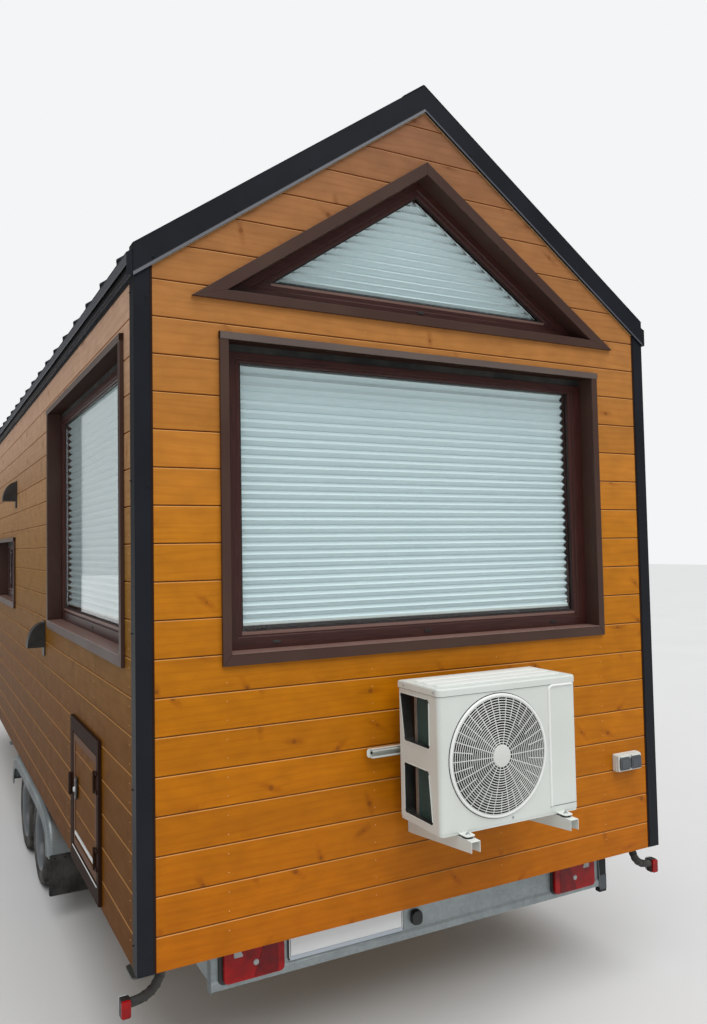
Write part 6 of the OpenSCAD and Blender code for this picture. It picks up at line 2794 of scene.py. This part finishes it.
        # The block is drawn with its radius along Y and its width along Z.
        # The turn lays it across the tyre.
        block.whole.transform(Matrix(((0, 0, 1, 0), (0, 1, 0, 0), (-1, 0, 0, 0), (0, 0, 0, 1))))
        place = Side.REAR.matrix @ centre
        tyre.add(in_circle(block.plain(), TYRE, place, Axis.X, self.tread_blocks), TYRE)
        dish = [
            (0.0, 0.058), (0.034, 0.058), (0.036, 0.034), (0.07, 0.03), (0.1, 0.04), (0.122, 0.046),
            (0.138, 0.036), (0.147, 0.018), (0.1545, 0.02), (0.1585, 0.06), (0.164, 0.0755),
            (0.172, 0.08), (0.1785, 0.0865), (0.1765, 0.0895), (0.168, 0.085), (0.16, 0.079),
            (0.1525, 0.064), (0.147, 0.01), (0.14, 0.005), (0.13, 0.03), (0.1, 0.033),
            (0.07, 0.024), (0.0, 0.02),
        ]
        rim.lathe([(r, mirror * x) for r, x in dish], centre, Axis.X, RIM_PAINT_PAINTED_SHADE, 72)
        barrel = [
            (0.1655, -0.08), (0.1785, -0.0865), (0.1765, -0.0895), (0.16, -0.079), (0.15, -0.06),
            (0.147, 0.012), (0.1495, 0.0125), (0.1525, -0.058),
        ]
        rim.lathe([(r, mirror * x) for r, x in barrel], centre, Axis.X, RIM_PAINT_PAINTED_SHADE, 72)
        cap = [(0.0, 0.0715), (0.02, 0.07), (0.029, 0.063), (0.031, 0.056), (0.0, 0.056)]
        rim.lathe([(r, mirror * x) for r, x in cap], centre, Axis.X, CAST, 32)
        lugs = [
            centre + Vector((mirror * 0.0335, 0.056 * math.cos(turn), 0.056 * math.sin(turn)))
            for turn in (math.tau * k / self.lugs + 0.3 for k in range(self.lugs))
        ]
        rim.fasten(Fasteners(0.012, 0.009, SCREW, True), lugs, (mirror, 0.0, 0.0))
        # The rim's oval holes lie round its middle, each with its long side across the radius; they
        # are near-black blocks, painted shade, not cut holes.
        oval = [(0.112 + 0.011 * x, 0.017 * y) for x, y in circle((0.0, 0.0), 1.0, 16)]
        x = sorted((centre.x + mirror * 0.03, centre.x + mirror * 0.0437))
        for k in range(self.rim_holes):
            turn = math.tau * k / self.rim_holes
            cos, sin = math.cos(turn), math.sin(turn)
            ring = [(centre.y + r * cos - t * sin, centre.z + r * sin + t * cos) for r, t in oval]
            rim.prism(ring, Axis.X, x[0], x[1], PAINTED_SHADE_BLACK, 0.001)

    def wheels(self) -> None:
        """Builds four wheels, their drums and the rubber-sprung axles."""
        tyre, rim = Shape("tyres_treaded"), Shape("wheel_rims_pressed")
        for mirror in (-1, 1):
            for y in (self.axle_y - self.axle_pitch / 2, self.axle_y + self.axle_pitch / 2):
                self.wheel(tyre, rim, mirror, y)
        tyre.done("tyre_rubber", replaces=["tyres"], angle=28)
        rim.done("rim_steel", replaces=["wheel_rims"], angle=28)
        shape = Shape("axles_torsion")
        for y in (self.axle_y - self.axle_pitch / 2, self.axle_y + self.axle_pitch / 2):
            tube = rounded(oblong((y - 0.2, -0.22), (y - 0.12, -0.14)), 0.014, 4)
            shape.prism(tube, Axis.X, -self.half, self.half, STEEL, 0.002)
            for mirror in (-1, 1):
                x = sided(mirror, self.half - 0.03, self.half)
                arm = rounded(
                    [
                        (y - 0.2, -0.2199), (y - 0.12, -0.22), (y + 0.045, self.wheel_z - 0.025),
                        (y + 0.045, self.wheel_z + 0.04), (y - 0.12, -0.1405), (y - 0.2, -0.1405),
                    ],
                    0.016,
                    4,
                )
                shape.prism(arm, Axis.X, x[0], x[1], STEEL, 0.003)
                centre = (0.0, y, self.wheel_z)
                hub, back, face = self.half, 1.047, 1.161
                drum = [
                    (0.0, hub), (0.03, hub), (0.03, back), (0.118, back + 0.005), (0.118, face),
                    (0.0, face),
                ]
                shape.lathe([(r, mirror * along) for r, along in drum], centre, Axis.X, CAST, 40)
        shape.done("galvanised", replaces=["axles"])

    def supports(self) -> None:
        """Builds the corner steadies and the jockey wheel."""
        shape = Shape("steadies_and_jockey")
        for mirror in (-1, 1):
            for y in (1.16, LENGTH - 0.3):
                x = mirror * 0.93
                shape.lathe(oblong((0.0, -0.574), (0.016, -0.3)), (x, y, 0.0), Axis.Z, SCREW, 24)
                shape.lathe(
                    oblong((0.017, -0.42), (0.0245, -0.1405)), (x, y, 0.0), Axis.Z, STEEL, 28
                )
                shape.lathe(oblong((0.017, -0.435), (0.03, -0.4)), (x, y, 0.0), Axis.Z, CAST, 28)
                foot = rounded(oblong((x - 0.07, y - 0.07), (x + 0.07, y + 0.07)), 0.02, 4)
                shape.prism(foot, Axis.Z, -0.58, -0.5725, STEEL, 0.002)
                shape.lathe(
                    [(0.0, -0.573), (0.03, -0.573), (0.02, -0.556), (0.0, -0.556)], (x, y, 0.0),
                    Axis.Z, STEEL, 24,
                )
                plate = rounded(oblong((x - 0.029, y - 0.05), (x + 0.029, y + 0.05)), 0.008, 3)
                shape.prism(plate, Axis.Z, -0.1495, -0.1405, STEEL, 0.001)
        y, low = self.tip - 0.48, -0.58
        shape.lathe(oblong((0.0, low + 0.205), (0.024, 0.165)), (0.0, y, 0.0), Axis.Z, STEEL, 32)
        shape.lathe(
            [(0.0, 0.16), (0.027, 0.16), (0.027, 0.172), (0.012, 0.178), (0.0, 0.1795)],
            (0.0, y, 0.0), Axis.Z, CAST, 32,
        )
        shape.lathe(oblong((0.0245, -0.075), (0.034, 0.025)), (0.0, y, 0.0), Axis.Z, CAST, 32)
        shape.rod([(0.0, y, 0.171), (0.06, y, 0.171), (0.13, y, 0.171)], 0.006, STEEL, 12)
        shape.lathe(
            [(0.0, 0.122), (0.013, 0.122), (0.014, 0.13), (0.011, 0.168), (0.0, 0.168)],
            (0.118, y, 0.0), Axis.Z, BLACK_PLASTIC, 20,
        )
        shape.rod(
            [(0.034, y, -0.03), (0.06, y, -0.03), (0.075, y, -0.055), (0.078, y, -0.09)], 0.006,
            STEEL, 10,
        )
        fork = folded(
            [(-0.04, low + 0.088), (-0.04, low + 0.22), (0.04, low + 0.22), (0.04, low + 0.088)],
            -0.006,
        )
        shape.prism(fork, Axis.Y, y - 0.02, y + 0.02, STEEL, 0.002)
        hub = (0.0, y, low + 0.1)
        profile = [
            (0.0, -0.03), (0.03, -0.03), (0.034, -0.02), (0.068, -0.016), (0.074, -0.026),
            (0.092, -0.03), (0.1, -0.018), (0.1, 0.018), (0.092, 0.03), (0.074, 0.026),
            (0.068, 0.016), (0.034, 0.02), (0.03, 0.03), (0.0, 0.03),
        ]
        shape.lathe(profile, hub, Axis.X, TYRE, 48)
        shape.lathe(oblong((0.0, -0.0342), (0.026, 0.0342)), hub, Axis.X, STEEL, 24)
        bar = rounded(oblong((-0.26, y - 0.04), (0.26, y + 0.04)), 0.01, 3)
        shape.prism(bar, Axis.Z, -0.04, -0.032, STEEL, 0.0015)
        shape.done("galvanised", replaces=["stands"])

    def coupling(self) -> None:
        """Builds the coupling head, its tube, its handle and the rubber bellows."""
        shape = Shape("coupling_head")
        z, tip = -0.12, self.tip
        shape.prism(
            rounded(oblong((-0.04, z), (0.04, z + 0.08)), 0.012, 4), Axis.Y, tip - 0.42, tip - 0.33,
            CAST, 0.003,
        )
        bellows = []
        for i in range(13):
            bellows.append((0.04 if i % 2 else 0.031, tip - 0.332 + 0.0128 * i))
        outline = [(0.0, tip - 0.332), *bellows, (0.0, tip - 0.332 + 0.0128 * 12)]
        shape.lathe(outline, (0.0, 0.0, z + 0.045), Axis.Y, FLAP, 28)
        shape.lathe(
            oblong((0.0, tip - 0.185), (0.024, tip - 0.12)), (0.0, 0.0, z + 0.055), Axis.Y, STEEL,
            28,
        )
        head = [(-0.034, tip - 0.155), (0.034, tip - 0.155), (0.038, tip - 0.085)]
        head += [
            (0.0595 * math.cos(t), tip - 0.06 + 0.0595 * math.sin(t))
            for t in [-0.35 + (math.pi + 0.7) * i / 18 for i in range(19)]
        ]
        head += [(-0.038, tip - 0.085)]
        shape.prism(head, Axis.Z, z + 0.034, z + 0.088, CAST, 0.008)
        shape.lathe(
            [(0.03, z + 0.03), (0.058, z + 0.03), (0.056, z + 0.04), (0.03, z + 0.04)],
            (0.0, tip - 0.06, 0.0), Axis.Z, CAST, 40,
        )
        handle = [
            (0.0, tip - 0.02, z + 0.098), (0.0, tip - 0.05, z + 0.104),
            (0.0, tip - 0.13, z + 0.104), (0.0, tip - 0.148, z + 0.098),
        ]
        shape.rod(handle, 0.0055, CAST, 12)
        grip = rounded(oblong((-0.0115, tip - 0.145), (0.0115, tip - 0.03)), 0.009, 4)
        shape.prism(grip, Axis.Z, z + 0.0925, z + 0.1095, CAST, 0.004)
        bolts = [(x, tip - 0.42 + d, z + 0.0805) for x in (-0.03, 0.03) for d in (0.025, 0.07)]
        shape.fasten(Fasteners(0.009, 0.003, SCREW, True), bolts, (0.0, 0.0, 1.0))
        shape.done("coupling_steel", replaces=["coupling"])

    def build(self) -> None:
        """Builds the trailer."""
        self.rear_beam()
        self.tail_lamps()
        self.plate()
        self.markers()
        self.mudguards()
        self.wheels()
        self.supports()
        self.coupling()
        for name in ("chassis_rails", "chassis_crossbars", "drawbar"):
            dress_node(name, STEEL)


def main() -> None:
    """Builds the dressed house in order."""
    logging.basicConfig(level=logging.INFO, format="%(message)s")
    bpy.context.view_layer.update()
    Studio().build()
    windows = Windows()
    windows.build()
    BoardedWalls(windows).build()
    Roof().build()
    Flashings().build()
    OutdoorUnit().build()
    ServiceHatch().build()
    EntryDoor().build()
    WallFittings().build()
    Trailer().build()


if __name__ == "__main__":
    main()
